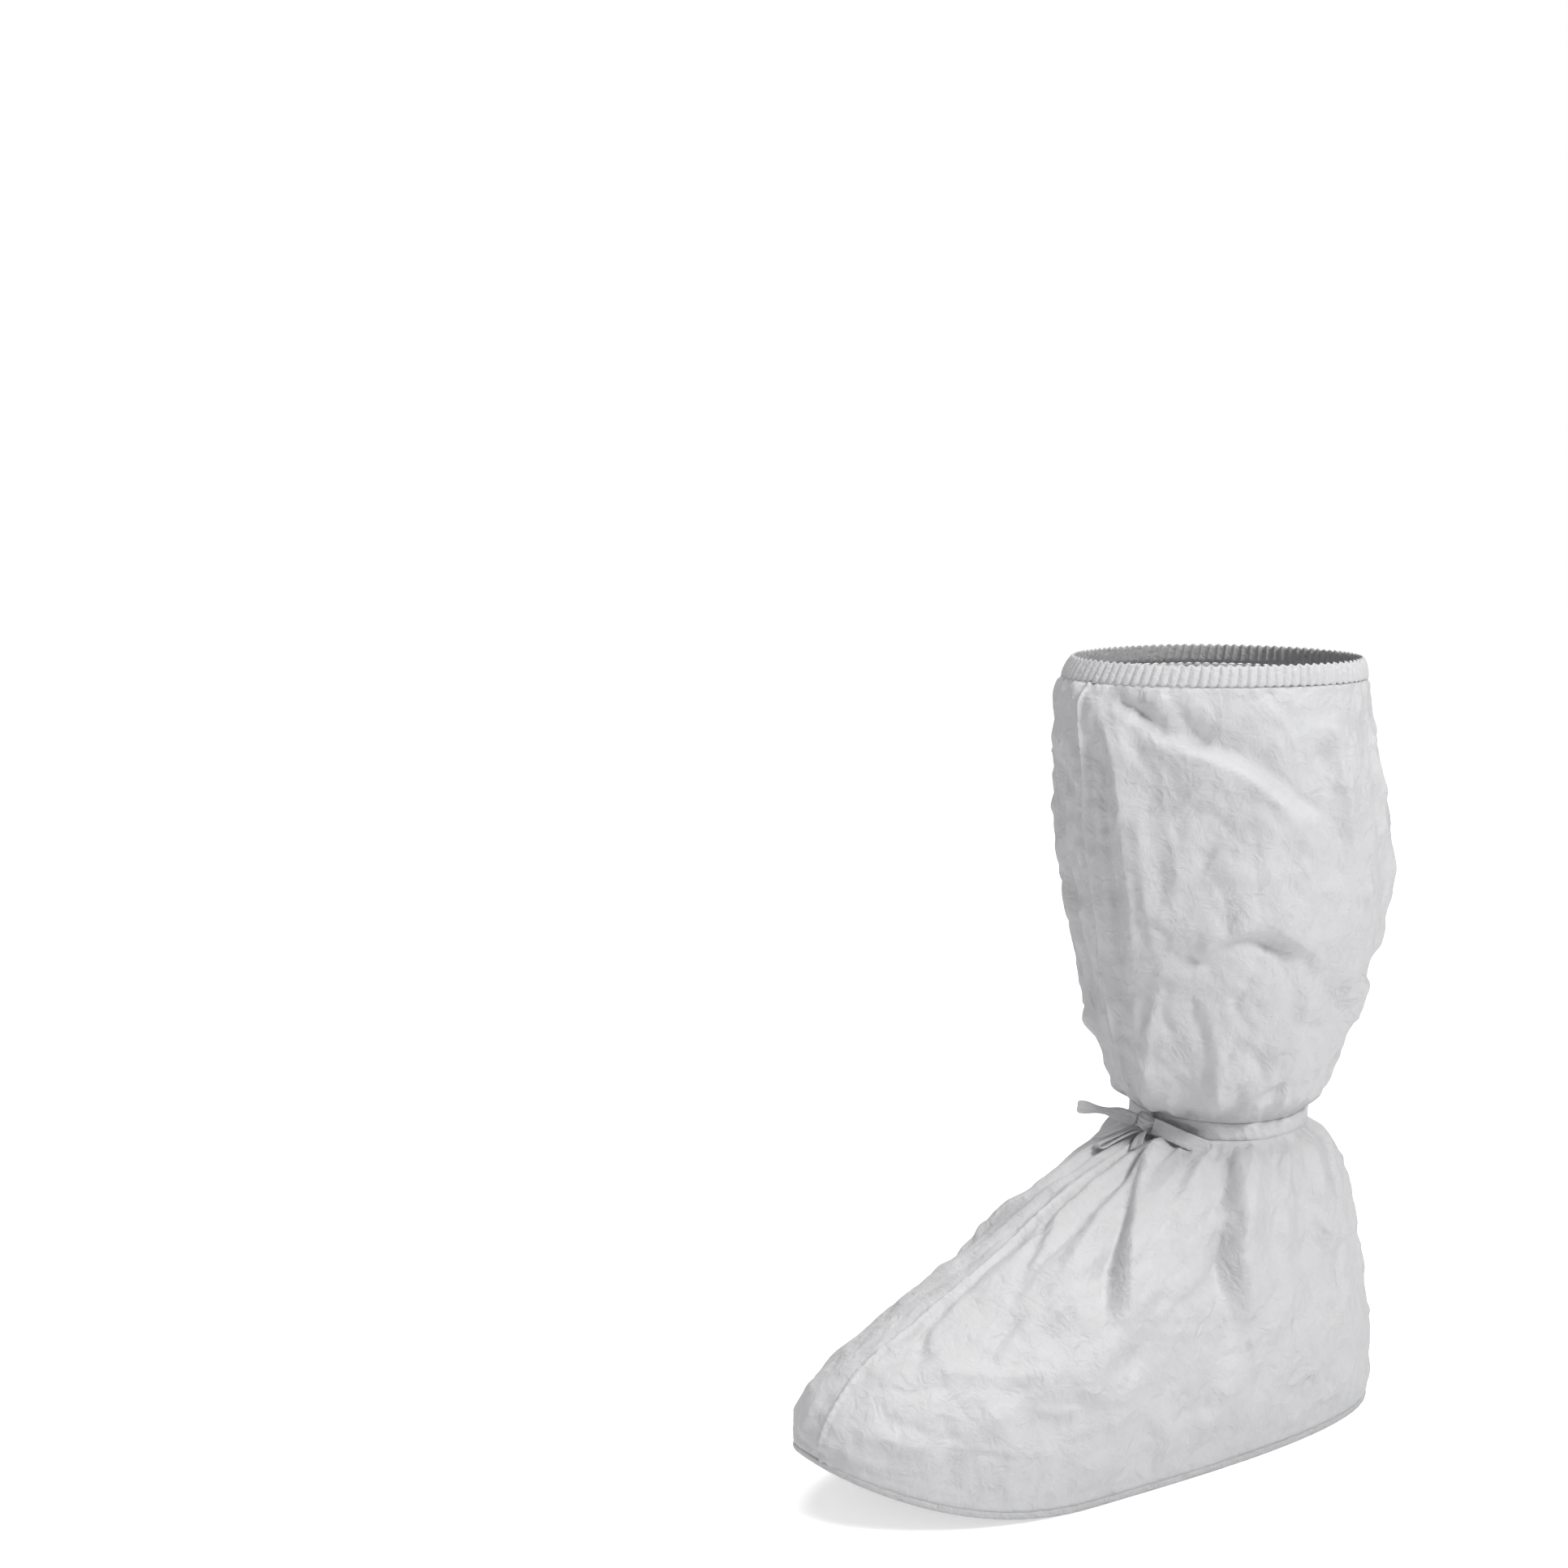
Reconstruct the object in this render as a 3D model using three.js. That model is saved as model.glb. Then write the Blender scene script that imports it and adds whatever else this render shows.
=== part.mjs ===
import * as THREE from 'three';

// Boot cover: a cloth boot in two half panels seamed at the front and back centre, on a flat sole,
// with an elastic casing at the top and a tape tied round the ankle.
// Millimetres, +Z up, the toe points to -Y, and +X is the wearer's left.
// The origin is on the foot bed, the inner face of the sole, under the ankle.

// Overall sizes
const topHeight = 394;
const ankleHeight = 157;
const toeReach = 256;
const heelReach = 92;
const soleWidth = 114;
const legWidth = 156;
const toeSpring = 31;
const springStart = 133;

// Ankle, where the tie draws the cloth in
const ankleFront = 37;
const ankleBack = 54;
const ankleWidth = 88;
const ankleLean = -11;

// Cloth and seams
const clothWall = 1.5;
const soleThickness = 2;
const soleRim = 2;
const seamGap = 0.3;

// Elastic casing at the top
const casingHeight = 10;
const casingWall = 1.5;
const rufflePitch = 4.6;
const ruffleDepth = 1.8;

// Ankle tie
const tieWidth = 9;
const tieThickness = 1.2;
const tieGap = 0.5;
const tapeWidth = 8;
const tapeThickness = 0.8;
const knotWidth = 13;
const knotHeight = 11;
const knotDepth = 8;

// Loops and ends of the bow
const sideLoopLength = 28;
const hangingLoopLength = 23;
const loopOpening = 6;
const flatEndLength = 31;
const shortEndLength = 13;
const endDroop = 1.2;

// Depths of the folds, puckers and gathers
const seamPeak = 4;
const seamPeakReach = 0.15;
const foldDepth = 6;
const foldWidth = 13;
const puckerDepth = 1.6;
const puckerReach = 22;
const puckerCount = 9;
const gatherDepth = 2.4;
const gatherReach = 26;
const gatherCount = 9;

// Grid of each panel
const columns = 28;
const footRows = 16;
const legRows = 18;

const soleHalf = soleWidth / 2;
const legHalf = legWidth / 2;
const bandLow = ankleHeight - tieWidth / 2;
const bandHigh = ankleHeight + tieWidth / 2;
const hemLevel = topHeight - casingHeight - seamGap;
const footLevel = soleRim + seamGap;

// Foot sections. level: share of the ankle height. front and widest: share of the toe reach.
// back: share of the heel reach. side and lean: share of half the sole width.
const footColumns = ['level', 'front', 'back', 'side', 'widest', 'frontSquare', 'backSquare', 'lean'];
const footSections = readTable(footColumns, [
  [0.0, 1.0, 1.0, 1.0, 0.46, 2.5, 2.7, 0.0],
  [0.18, 0.97, 0.94, 1.09, 0.43, 2.4, 3.0, 0.02],
  [0.34, 0.9, 0.92, 1.09, 0.37, 2.4, 2.8, 0.03],
  [0.5, 0.77, 0.88, 1.04, 0.27, 2.5, 2.6, 0.02],
  [0.66, 0.585, 0.83, 0.98, 0.16, 2.5, 2.4, 0.0],
  [0.82, 0.38, 0.78, 0.95, 0.09, 2.4, 2.2, -0.05],
  [0.92, 0.235, 0.7, 0.88, 0.02, 2.2, 2.1, -0.14],
]);

// Leg sections. level: share of the way from the tie to the top.
// front, back, side and lean: share of half the leg width.
const legColumns = ['level', 'front', 'back', 'side', 'square', 'lean'];
const legSections = readTable(legColumns, [
  [0.05, 0.69, 0.73, 0.67, 2.0, -0.08],
  [0.15, 0.83, 0.81, 0.76, 2.0, -0.04],
  [0.3, 0.94, 0.95, 0.87, 2.1, -0.05],
  [0.475, 1.06, 1.06, 0.97, 2.1, -0.03],
  [0.655, 1.13, 1.0, 1.0, 2.1, -0.04],
  [0.8, 1.17, 0.92, 0.97, 2.1, -0.05],
  [0.91, 1.18, 0.87, 0.96, 2.0, -0.08],
  [1.0, 1.08, 0.8, 0.885, 2.0, -0.05],
]);

// Folds, each a ridge or a valley along a line on one panel. around: share of the way from the front
// seam to the back seam. level: share of the top height. depth: share of the fold depth, negative for
// a valley. width: share of the fold width.
const foldColumns = ['panel', 'aroundA', 'levelA', 'aroundB', 'levelB', 'depth', 'width'];
const folds = readTable(foldColumns, [
  [1, 0.08, 0.97, 0.22, 0.92, -0.7, 0.8],
  [1, 0.17, 0.915, 0.34, 0.875, 0.9, 0.9],
  [1, 0.34, 0.875, 0.56, 0.78, 0.9, 1.0],
  [1, 0.28, 0.94, 0.5, 0.88, -0.8, 1.1],
  [1, 0.53, 0.96, 0.56, 0.84, 0.5, 0.8],
  [1, 0.07, 0.94, 0.06, 0.67, 0.7, 0.6],
  [1, 0.06, 0.67, 0.07, 0.47, 0.5, 0.6],
  [1, 0.15, 0.62, 0.1, 0.46, 0.5, 0.6],
  [1, 0.24, 0.65, 0.34, 0.69, 0.8, 0.9],
  [1, 0.34, 0.69, 0.53, 0.64, 0.8, 0.9],
  [1, 0.33, 0.655, 0.62, 0.555, -0.9, 1.1],
  [1, 0.28, 0.57, 0.28, 0.48, 0.5, 0.6],
  [1, 0.8, 0.9, 0.86, 0.6, -0.6, 1.2],
  [1, 0.1, 0.36, 0.32, 0.2, -0.8, 0.8],
  [1, 0.14, 0.36, 0.4, 0.2, 0.6, 0.8],
  [1, 0.33, 0.36, 0.56, 0.14, -0.8, 0.8],
  [1, 0.4, 0.36, 0.58, 0.12, 0.6, 0.8],
  [1, 0.7, 0.36, 0.8, 0.25, 0.6, 0.8],
  [-1, 0.03, 0.93, 0.03, 0.82, 0.6, 0.7],
  [-1, 0.13, 0.76, 0.02, 0.63, 0.7, 0.8],
  [-1, 0.05, 0.87, 0.09, 0.55, -0.6, 0.8],
  [-1, 0.3, 0.93, 0.55, 0.8, 0.8, 1.1],
  [-1, 0.35, 0.86, 0.6, 0.72, -0.7, 1.1],
  [-1, 0.4, 0.68, 0.65, 0.6, 0.8, 1.0],
  [-1, 0.8, 0.88, 0.84, 0.58, -0.6, 1.2],
  [-1, 0.12, 0.36, 0.3, 0.2, -0.8, 0.8],
  [-1, 0.34, 0.36, 0.52, 0.14, -0.8, 0.8],
  [-1, 0.45, 0.36, 0.6, 0.14, 0.6, 0.8],
]);

function readTable(names, rows) {
  return rows.map((row) => Object.fromEntries(names.map((name, i) => [name, row[i]])));
}

// The sections from the sole to the top, in millimetres
function wholeBootSections() {
  const foot = footSections.map((row) => ({
    level: row.level * ankleHeight,
    front: row.front * toeReach,
    back: row.back * heelReach,
    side: row.side * soleHalf,
    widest: row.widest * toeReach,
    frontSquare: row.frontSquare,
    backSquare: row.backSquare,
    lean: row.lean * soleHalf,
  }));
  const ankle = [bandLow, bandHigh].map((level) => ({
    level,
    front: ankleFront,
    back: ankleBack,
    side: ankleWidth / 2,
    widest: 0,
    frontSquare: 2,
    backSquare: 2,
    lean: ankleLean,
  }));
  const leg = legSections.map((row) => ({
    level: bandHigh + row.level * (topHeight - bandHigh),
    front: row.front * legHalf,
    back: row.back * legHalf,
    side: row.side * legHalf,
    widest: 0,
    frontSquare: row.square,
    backSquare: row.square,
    lean: row.lean * legHalf,
  }));
  return [...foot, ...ankle, ...leg];
}

const sections = wholeBootSections();

// Slope of one column at a section, kept monotone so that the outline never overshoots
function slopeAt(name, i) {
  const last = sections.length - 1;
  const step = (k) => sections[k + 1].level - sections[k].level;
  const rate = (k) => (sections[k + 1][name] - sections[k][name]) / step(k);
  if (i === 0) return rate(0);
  if (i === last) return rate(last - 1);
  const before = rate(i - 1);
  const after = rate(i);
  if (before * after <= 0) return 0;
  const early = 2 * step(i) + step(i - 1);
  const late = step(i) + 2 * step(i - 1);
  return (early + late) / (early / before + late / after);
}

// Section at any level, as a smooth blend of the two rows around it
function sectionAt(level) {
  const last = sections.length - 2;
  let i = 0;
  while (i < last && level > sections[i + 1].level) i += 1;
  const step = sections[i + 1].level - sections[i].level;
  const s = (level - sections[i].level) / step;
  const blend = (name) => {
    const start = sections[i][name] * (1 + 2 * s) * (1 - s) ** 2;
    const end = sections[i + 1][name] * s * s * (3 - 2 * s);
    const bend = slopeAt(name, i) * (1 - s) - slopeAt(name, i + 1) * s;
    return start + end + bend * step * s * (1 - s);
  };
  const names = ['front', 'back', 'side', 'widest', 'frontSquare', 'backSquare', 'lean'];
  return Object.fromEntries(names.map((name) => [name, blend(name)]));
}

// Height that the toe spring adds at a reach ahead of the ankle
function springAt(level, ahead) {
  const hold = THREE.MathUtils.clamp((ankleHeight - level) / (ankleHeight - footLevel), 0, 1);
  const run = Math.max(0, (ahead - springStart) / (toeReach - springStart));
  return toeSpring * hold * run * run;
}

// Half outline at one level from the front seam to the back seam, evenly spaced along its length
function halfOutline(level, count) {
  const row = sectionAt(level);
  const steps = 240;
  const fine = [];
  for (let i = 0; i <= steps; i += 1) {
    const angle = (Math.PI * i) / steps;
    const ahead = Math.cos(angle);
    const power = 2 / (ahead > 0 ? row.frontSquare : row.backSquare);
    const reach = ahead > 0 ? row.front - row.widest : row.back + row.widest;
    const x = row.side * Math.sin(angle) ** power;
    const y = -(row.widest + reach * Math.sign(ahead) * Math.abs(ahead) ** power);
    fine.push(new THREE.Vector2(i === steps ? 0 : x, y));
  }
  const lengths = [0];
  for (let i = 1; i <= steps; i += 1) lengths.push(lengths[i - 1] + fine[i].distanceTo(fine[i - 1]));
  const points = [];
  let k = 0;
  for (let i = 0; i < count; i += 1) {
    const goal = (lengths[steps] * i) / (count - 1);
    while (k < steps - 1 && lengths[k + 1] < goal) k += 1;
    const share = (goal - lengths[k]) / (lengths[k + 1] - lengths[k]);
    points.push(fine[k].clone().lerp(fine[k + 1], Math.min(1, share)));
  }
  return { points, lean: row.lean };
}

// One row of a panel, on its own side of the seams
function panelRow(side, level) {
  const { points, lean } = halfOutline(level, columns);
  return points.map((p) => {
    const x = side * (p.x + seamGap / 2) + lean;
    return new THREE.Vector3(x, p.y, level + springAt(level, -p.y));
  });
}

function smoothStep(from, to, value) {
  const s = THREE.MathUtils.clamp((value - from) / (to - from), 0, 1);
  return s * s * (3 - 2 * s);
}

// Point on the bare panel at a share of the way round and a level
function pointOn(side, around, level) {
  const row = panelRow(side, level);
  const place = around * (columns - 1);
  const i = Math.min(columns - 2, Math.floor(place));
  return row[i].clone().lerp(row[i + 1], place - i);
}

function makeFoldLines(side) {
  return folds
    .filter((fold) => fold.panel === side)
    .map((fold) => ({
      line: new THREE.Line3(
        pointOn(side, fold.aroundA, fold.levelA * topHeight),
        pointOn(side, fold.aroundB, fold.levelB * topHeight),
      ),
      depth: fold.depth * foldDepth,
      width: fold.width * foldWidth,
    }));
}

// How far the cloth stands out from the bare section at one point
function standOut(foldLines, point, around, level) {
  const free = 1 - smoothStep(0, gatherReach, gatherReach - Math.max(bandLow - level, level - bandHigh, 0));
  const edges = smoothStep(footLevel, footLevel + foldWidth, level) * smoothStep(0, foldWidth, hemLevel - level);
  const seams = smoothStep(0, 0.04, around) * smoothStep(0, 0.04, 1 - around);
  const nearest = new THREE.Vector3();
  let sum = 0;
  for (const fold of foldLines) {
    fold.line.closestPointToPoint(point, true, nearest);
    sum += fold.depth * Math.exp(-((nearest.distanceTo(point) / fold.width) ** 2));
  }
  const under = Math.exp(-((hemLevel - level) / puckerReach) * 2) * smoothStep(0, 4, hemLevel - level);
  const pucker = puckerDepth * under * Math.sin(2 * Math.PI * puckerCount * around);
  const away = Math.max(bandLow - level, level - bandHigh, 0) / gatherReach;
  const gather = gatherDepth * away * Math.exp(1 - away * 2) * Math.sin(2 * Math.PI * gatherCount * around);
  const peak = seamPeak * Math.max(0, 1 - around / seamPeakReach) * edges * free;
  return (sum * edges * free + pucker + gather) * seams + peak;
}

// Unit normals of a grid of points, level in the seams and rims so that edges meet squarely
function gridNormals(grid, side) {
  const rows = grid.length;
  return grid.map((row, j) => row.map((point, i) => {
    const right = row[Math.min(i + 1, columns - 1)].clone().sub(row[Math.max(i - 1, 0)]);
    const up = grid[Math.min(j + 1, rows - 1)][i].clone().sub(grid[Math.max(j - 1, 0)][i]);
    const normal = right.cross(up).multiplyScalar(side);
    if (i === 0 || i === columns - 1) normal.x = 0;
    if (j === 0 || j === rows - 1) normal.z = 0;
    return normal.normalize();
  }));
}

// Closed wall between an outer and an inner grid of the same size
function wallGeometry(outer, inner, side) {
  const rows = outer.length;
  const across = outer[0].length;
  const positions = [];
  for (const grid of [outer, inner]) {
    for (const row of grid) for (const p of row) positions.push(p.x, p.y, p.z);
  }
  const at = (layer, j, i) => (layer * rows + j) * across + i;
  const index = [];
  const quad = (a, b, c, d) => {
    if (side > 0) index.push(a, b, c, a, c, d);
    else index.push(a, c, b, a, d, c);
  };
  for (let j = 0; j < rows - 1; j += 1) {
    for (let i = 0; i < across - 1; i += 1) {
      quad(at(0, j, i), at(0, j, i + 1), at(0, j + 1, i + 1), at(0, j + 1, i));
      quad(at(1, j, i + 1), at(1, j, i), at(1, j + 1, i), at(1, j + 1, i + 1));
    }
  }
  for (let i = 0; i < across - 1; i += 1) {
    quad(at(1, 0, i), at(1, 0, i + 1), at(0, 0, i + 1), at(0, 0, i));
    quad(at(0, rows - 1, i), at(0, rows - 1, i + 1), at(1, rows - 1, i + 1), at(1, rows - 1, i));
  }
  for (let j = 0; j < rows - 1; j += 1) {
    quad(at(1, j, 0), at(0, j, 0), at(0, j + 1, 0), at(1, j + 1, 0));
    quad(at(0, j, across - 1), at(1, j, across - 1), at(1, j + 1, across - 1), at(0, j + 1, across - 1));
  }
  return geometryFrom(positions, index);
}

function geometryFrom(positions, index) {
  const geometry = new THREE.BufferGeometry();
  geometry.setAttribute('position', new THREE.Float32BufferAttribute(positions, 3));
  geometry.setIndex(index);
  geometry.computeVertexNormals();
  return geometry;
}

function spread(from, to, count) {
  return Array.from({ length: count }, (_, i) => from + ((to - from) * i) / (count - 1));
}

// Half panel from the sole seam to the casing, with its folds
function panelGeometry(side) {
  const levels = [...spread(footLevel, bandLow, footRows), ...spread(bandHigh, hemLevel, legRows)];
  const bare = levels.map((level) => panelRow(side, level));
  const bareNormals = gridNormals(bare, side);
  const foldLines = makeFoldLines(side);
  const outer = bare.map((row, j) => row.map((point, i) => {
    const out = standOut(foldLines, point, i / (columns - 1), levels[j]);
    return point.clone().addScaledVector(bareNormals[j][i], out);
  }));
  const normals = gridNormals(outer, side);
  const inner = outer.map((row, j) => row.map((point, i) => (
    point.clone().addScaledVector(normals[j][i], -clothWall)
  )));
  return wallGeometry(outer, inner, side);
}

// Closed outline all the way round at one level, moved outward by a distance
function fullOutline(level, outward, count) {
  const { points, lean } = halfOutline(level, count);
  const left = points.map((p) => new THREE.Vector2(p.x + lean, p.y));
  const right = points.slice(1, -1).reverse().map((p) => new THREE.Vector2(lean - p.x, p.y));
  const ring = [...left, ...right];
  return ring.map((p, i) => {
    const before = ring[(i + ring.length - 1) % ring.length];
    const after = ring[(i + 1) % ring.length];
    const along = after.clone().sub(before).normalize();
    return new THREE.Vector2(p.x + along.y * outward, p.y - along.x * outward);
  });
}

// Ring swept through stacked closed outlines, listed round its own section
function ringGeometry(loops) {
  const count = loops[0].length;
  const positions = loops.flat().flatMap((p) => [p.x, p.y, p.z]);
  const index = [];
  for (let k = 0; k < loops.length; k += 1) {
    const next = (k + 1) % loops.length;
    for (let i = 0; i < count; i += 1) {
      const j = (i + 1) % count;
      const [a, b, c, d] = [k * count + i, k * count + j, next * count + j, next * count + i];
      index.push(a, b, c, a, c, d);
    }
  }
  return geometryFrom(positions, index);
}

// Outline of the sole at one inset, with the two sides paired station by station
function soleOutline(inset, height) {
  return fullOutline(footLevel, -inset, columns).map((p) => (
    new THREE.Vector3(p.x, p.y, height + springAt(footLevel, -p.y))
  ));
}

// Shallow tray: a flat floor with a low rim that the panels are sewn to
function soleGeometry() {
  const loops = [
    soleOutline(0, -soleThickness),
    soleOutline(0, soleRim),
    soleOutline(clothWall, soleRim),
    soleOutline(clothWall, 0),
  ];
  const count = loops[0].length;
  const positions = loops.flat().flatMap((p) => [p.x, p.y, p.z]);
  const index = [];
  for (let k = 0; k < 3; k += 1) {
    for (let i = 0; i < count; i += 1) {
      const j = (i + 1) % count;
      const [a, b, c, d] = [k * count + i, k * count + j, (k + 1) * count + j, (k + 1) * count + i];
      index.push(a, b, c, a, c, d);
    }
  }
  const floor = (start, flip) => {
    for (let i = 0; i < columns - 1; i += 1) {
      const [a, b] = [start + i, start + i + 1];
      const [c, d] = [start + ((count - i - 1) % count), start + ((count - i) % count)];
      const faces = [];
      if (i < columns - 2) faces.push([a, b, c]);
      if (i > 0) faces.push([a, i < columns - 2 ? c : b, d]);
      for (const [p, q, r] of faces) index.push(...(flip ? [p, r, q] : [p, q, r]));
    }
  };
  floor(0, true);
  floor(3 * count, false);
  return geometryFrom(positions, index);
}

// Ruffled hem folded over the elastic, all the way round the mouth
function casingGeometry() {
  const middle = topHeight - casingHeight / 2;
  const girth = fullOutline(middle, 0, columns).reduce((sum, p, i, ring) => (
    sum + p.distanceTo(ring[(i + 1) % ring.length])
  ), 0);
  const ruffles = Math.round(girth / rufflePitch);
  const half = ruffles + 1;
  const loop = (level, inward) => {
    const bottom = topHeight - casingHeight;
    const base = fullOutline(level, -inward, half);
    const crown = Math.sin((Math.PI * (level - bottom)) / casingHeight) * 0.5 + 0.5;
    const waved = fullOutline(level, ruffleDepth * crown - inward, half);
    return base.map((p, i) => {
      const q = i % 2 ? waved[i] : p;
      return new THREE.Vector3(q.x, q.y, level);
    });
  };
  const low = topHeight - casingHeight;
  return ringGeometry([
    loop(low, 0),
    loop(middle, 0),
    loop(topHeight, 0),
    loop(topHeight, casingWall),
    loop(middle, casingWall),
    loop(low, casingWall),
  ]);
}

// Tape drawn tight round the ankle, over the panels
function tieGeometry() {
  const lift = (level, outward) => fullOutline(level, outward, columns).map((p) => (
    new THREE.Vector3(p.x, p.y, level)
  ));
  return ringGeometry([
    lift(bandLow, tieGap + tieThickness),
    lift(bandHigh, tieGap + tieThickness),
    lift(bandHigh, tieGap),
    lift(bandLow, tieGap),
  ]);
}

// Flat tape along a curve, its width along the given direction and gathered where it leaves the knot
function tapeGeometry(points, across, pinched) {
  const curve = new THREE.CatmullRomCurve3(points);
  const stations = 16;
  const positions = [];
  for (let i = 0; i <= stations; i += 1) {
    const share = i / stations;
    const centre = curve.getPoint(share);
    const tangent = curve.getTangent(share);
    const thick = tangent.clone().cross(across).normalize();
    const wide = thick.clone().cross(tangent).normalize();
    const width = tapeWidth * (0.45 + 0.55 * smoothStep(0, 0.35, pinched(share)));
    for (const [w, t] of [[-1, -1], [1, -1], [1, 1], [-1, 1]]) {
      const p = centre.clone();
      p.addScaledVector(wide, (w * width) / 2);
      p.addScaledVector(thick, (t * tapeThickness) / 2);
      positions.push(p.x, p.y, p.z);
    }
  }
  const index = [];
  for (let i = 0; i < stations; i += 1) {
    for (let k = 0; k < 4; k += 1) {
      const m = (k + 1) % 4;
      const [a, b, c, d] = [i * 4 + k, i * 4 + m, (i + 1) * 4 + m, (i + 1) * 4 + k];
      index.push(a, b, c, a, c, d);
    }
  }
  const end = stations * 4;
  index.push(0, 2, 1, 0, 3, 2, end, end + 1, end + 2, end, end + 2, end + 3);
  return geometryFrom(positions, index);
}

// Centre of the knot, just outside the tie at the front seam
const knotCentre = new THREE.Vector3(
  ankleLean,
  -(ankleFront + tieGap + tieThickness + seamGap + knotDepth / 2),
  ankleHeight,
);

function knotGeometry() {
  const geometry = new THREE.SphereGeometry(0.5, 14, 10);
  geometry.scale(knotWidth, knotDepth, knotHeight);
  return geometry;
}

// Where a tape leaves the knot in a direction, clear of it by the tie gap
function knotEdge(direction) {
  const d = direction.clone().normalize();
  const shares = [(2 * d.x) / knotWidth, (2 * d.y) / knotDepth, (2 * d.z) / knotHeight];
  return knotCentre.clone().addScaledVector(d, 1 / Math.hypot(...shares) + tieGap);
}

// Loop of tape that leaves the knot and comes back to it
function loopGeometry({ from, along, across, length }) {
  const start = knotEdge(from);
  const run = along.clone().normalize();
  const aside = run.clone().cross(across).normalize();
  const firstTurn = 0.14;
  const reach = (turn) => (length * (Math.cos(Math.PI * firstTurn) - Math.cos(Math.PI * turn))) / 2;
  const points = spread(firstTurn, 2 - firstTurn, 11).map((turn) => {
    const point = start.clone().addScaledVector(run, reach(turn));
    point.addScaledVector(aside, (loopOpening / 2) * Math.sin(Math.PI * turn));
    return point;
  });
  return tapeGeometry(points, across, (share) => Math.min(share, 1 - share));
}

// Free end of tape that leaves the knot and droops
function endGeometry({ from, along, across, length }) {
  const start = knotEdge(from);
  const run = along.clone().normalize();
  const points = spread(0, 1, 7).map((share) => {
    const point = start.clone().addScaledVector(run, length * share);
    point.z -= endDroop * share * share;
    return point;
  });
  return tapeGeometry(points, across, (share) => share);
}

// Tapes of the bow: where each leaves the knot, which way it runs, and the direction of its width
const vector = (x, y, z) => new THREE.Vector3(x, y, z);
const sideLoop = {
  from: vector(-0.9, -0.5, 0.35),
  along: vector(-0.54, -0.81, 0.24),
  across: vector(0.65, -0.4, 0.66),
  length: sideLoopLength,
};
const hangingLoop = {
  from: vector(-0.3, -0.75, -0.7),
  along: vector(-0.3, -0.93, -0.16),
  across: vector(0.75, -0.45, 0.3),
  length: hangingLoopLength,
};
const flatEnd = {
  from: vector(0.95, -0.1, -0.1),
  along: vector(0.95, 0.27, -0.08),
  across: vector(-0.25, 0.45, 0.85),
  length: flatEndLength,
};
const shortEnd = {
  from: vector(0.55, -0.6, -0.75),
  along: vector(0.5, -0.85, -0.16),
  across: vector(0.6, 0.3, 0.4),
  length: shortEndLength,
};

const clothMaterial = new THREE.MeshStandardMaterial({ color: 0xe9e9ee, roughness: 0.62, metalness: 0 });
const soleMaterial = new THREE.MeshStandardMaterial({ color: 0xe0e0e6, roughness: 0.75, metalness: 0 });
const hemMaterial = new THREE.MeshStandardMaterial({ color: 0xeeeef2, roughness: 0.6, metalness: 0 });
const tapeMaterial = new THREE.MeshStandardMaterial({ color: 0xf2f2f5, roughness: 0.58, metalness: 0 });

const bootCover = new THREE.Group();

function addPiece(name, geometry, material) {
  const mesh = new THREE.Mesh(geometry, material);
  mesh.name = name;
  bootCover.add(mesh);
  return mesh;
}

addPiece('left_panel', panelGeometry(1), clothMaterial);
addPiece('right_panel', panelGeometry(-1), clothMaterial);
addPiece('sole', soleGeometry(), soleMaterial);
addPiece('top_casing', casingGeometry(), hemMaterial);
addPiece('ankle_tie', tieGeometry(), tapeMaterial);
addPiece('tie_knot', knotGeometry(), tapeMaterial).position.copy(knotCentre);
addPiece('side_loop', loopGeometry(sideLoop), tapeMaterial);
addPiece('hanging_loop', loopGeometry(hangingLoop), tapeMaterial);
addPiece('flat_end', endGeometry(flatEnd), tapeMaterial);
addPiece('short_end', endGeometry(shortEnd), tapeMaterial);

export default bootCover;
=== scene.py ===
"""Boot cover: a cloth boot of two seamed panels on a flat sole, with a ruffled elastic casing at the top
and a tape tied in a bow round the ankle, as it stands when it is worn."""

import bpy
import numpy as np
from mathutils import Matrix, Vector


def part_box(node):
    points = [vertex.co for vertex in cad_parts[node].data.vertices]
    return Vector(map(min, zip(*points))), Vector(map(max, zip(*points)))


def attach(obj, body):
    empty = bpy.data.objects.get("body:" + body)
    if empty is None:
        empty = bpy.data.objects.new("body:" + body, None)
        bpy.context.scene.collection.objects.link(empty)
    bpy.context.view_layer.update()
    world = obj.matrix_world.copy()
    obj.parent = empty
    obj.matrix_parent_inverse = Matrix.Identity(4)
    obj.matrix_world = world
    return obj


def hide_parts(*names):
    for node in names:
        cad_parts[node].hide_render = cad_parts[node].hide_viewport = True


bl_info = {
    "name": "Boot Cover",
    "version": (1, 0, 0),
    "blender": (4, 5, 0),
    "location": "View3D > Sidebar > Boot Cover",
    "description": "Builds a worn cloth boot cover with its seams, gathers, tie and studio",
    "category": "Add Mesh",
}

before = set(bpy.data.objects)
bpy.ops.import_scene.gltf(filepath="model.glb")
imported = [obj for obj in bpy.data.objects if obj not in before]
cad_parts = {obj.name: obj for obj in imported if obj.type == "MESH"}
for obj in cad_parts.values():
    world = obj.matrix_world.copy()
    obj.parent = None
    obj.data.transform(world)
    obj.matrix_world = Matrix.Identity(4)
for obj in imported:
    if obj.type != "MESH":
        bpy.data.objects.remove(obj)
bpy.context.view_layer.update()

MM = 0.001

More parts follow.
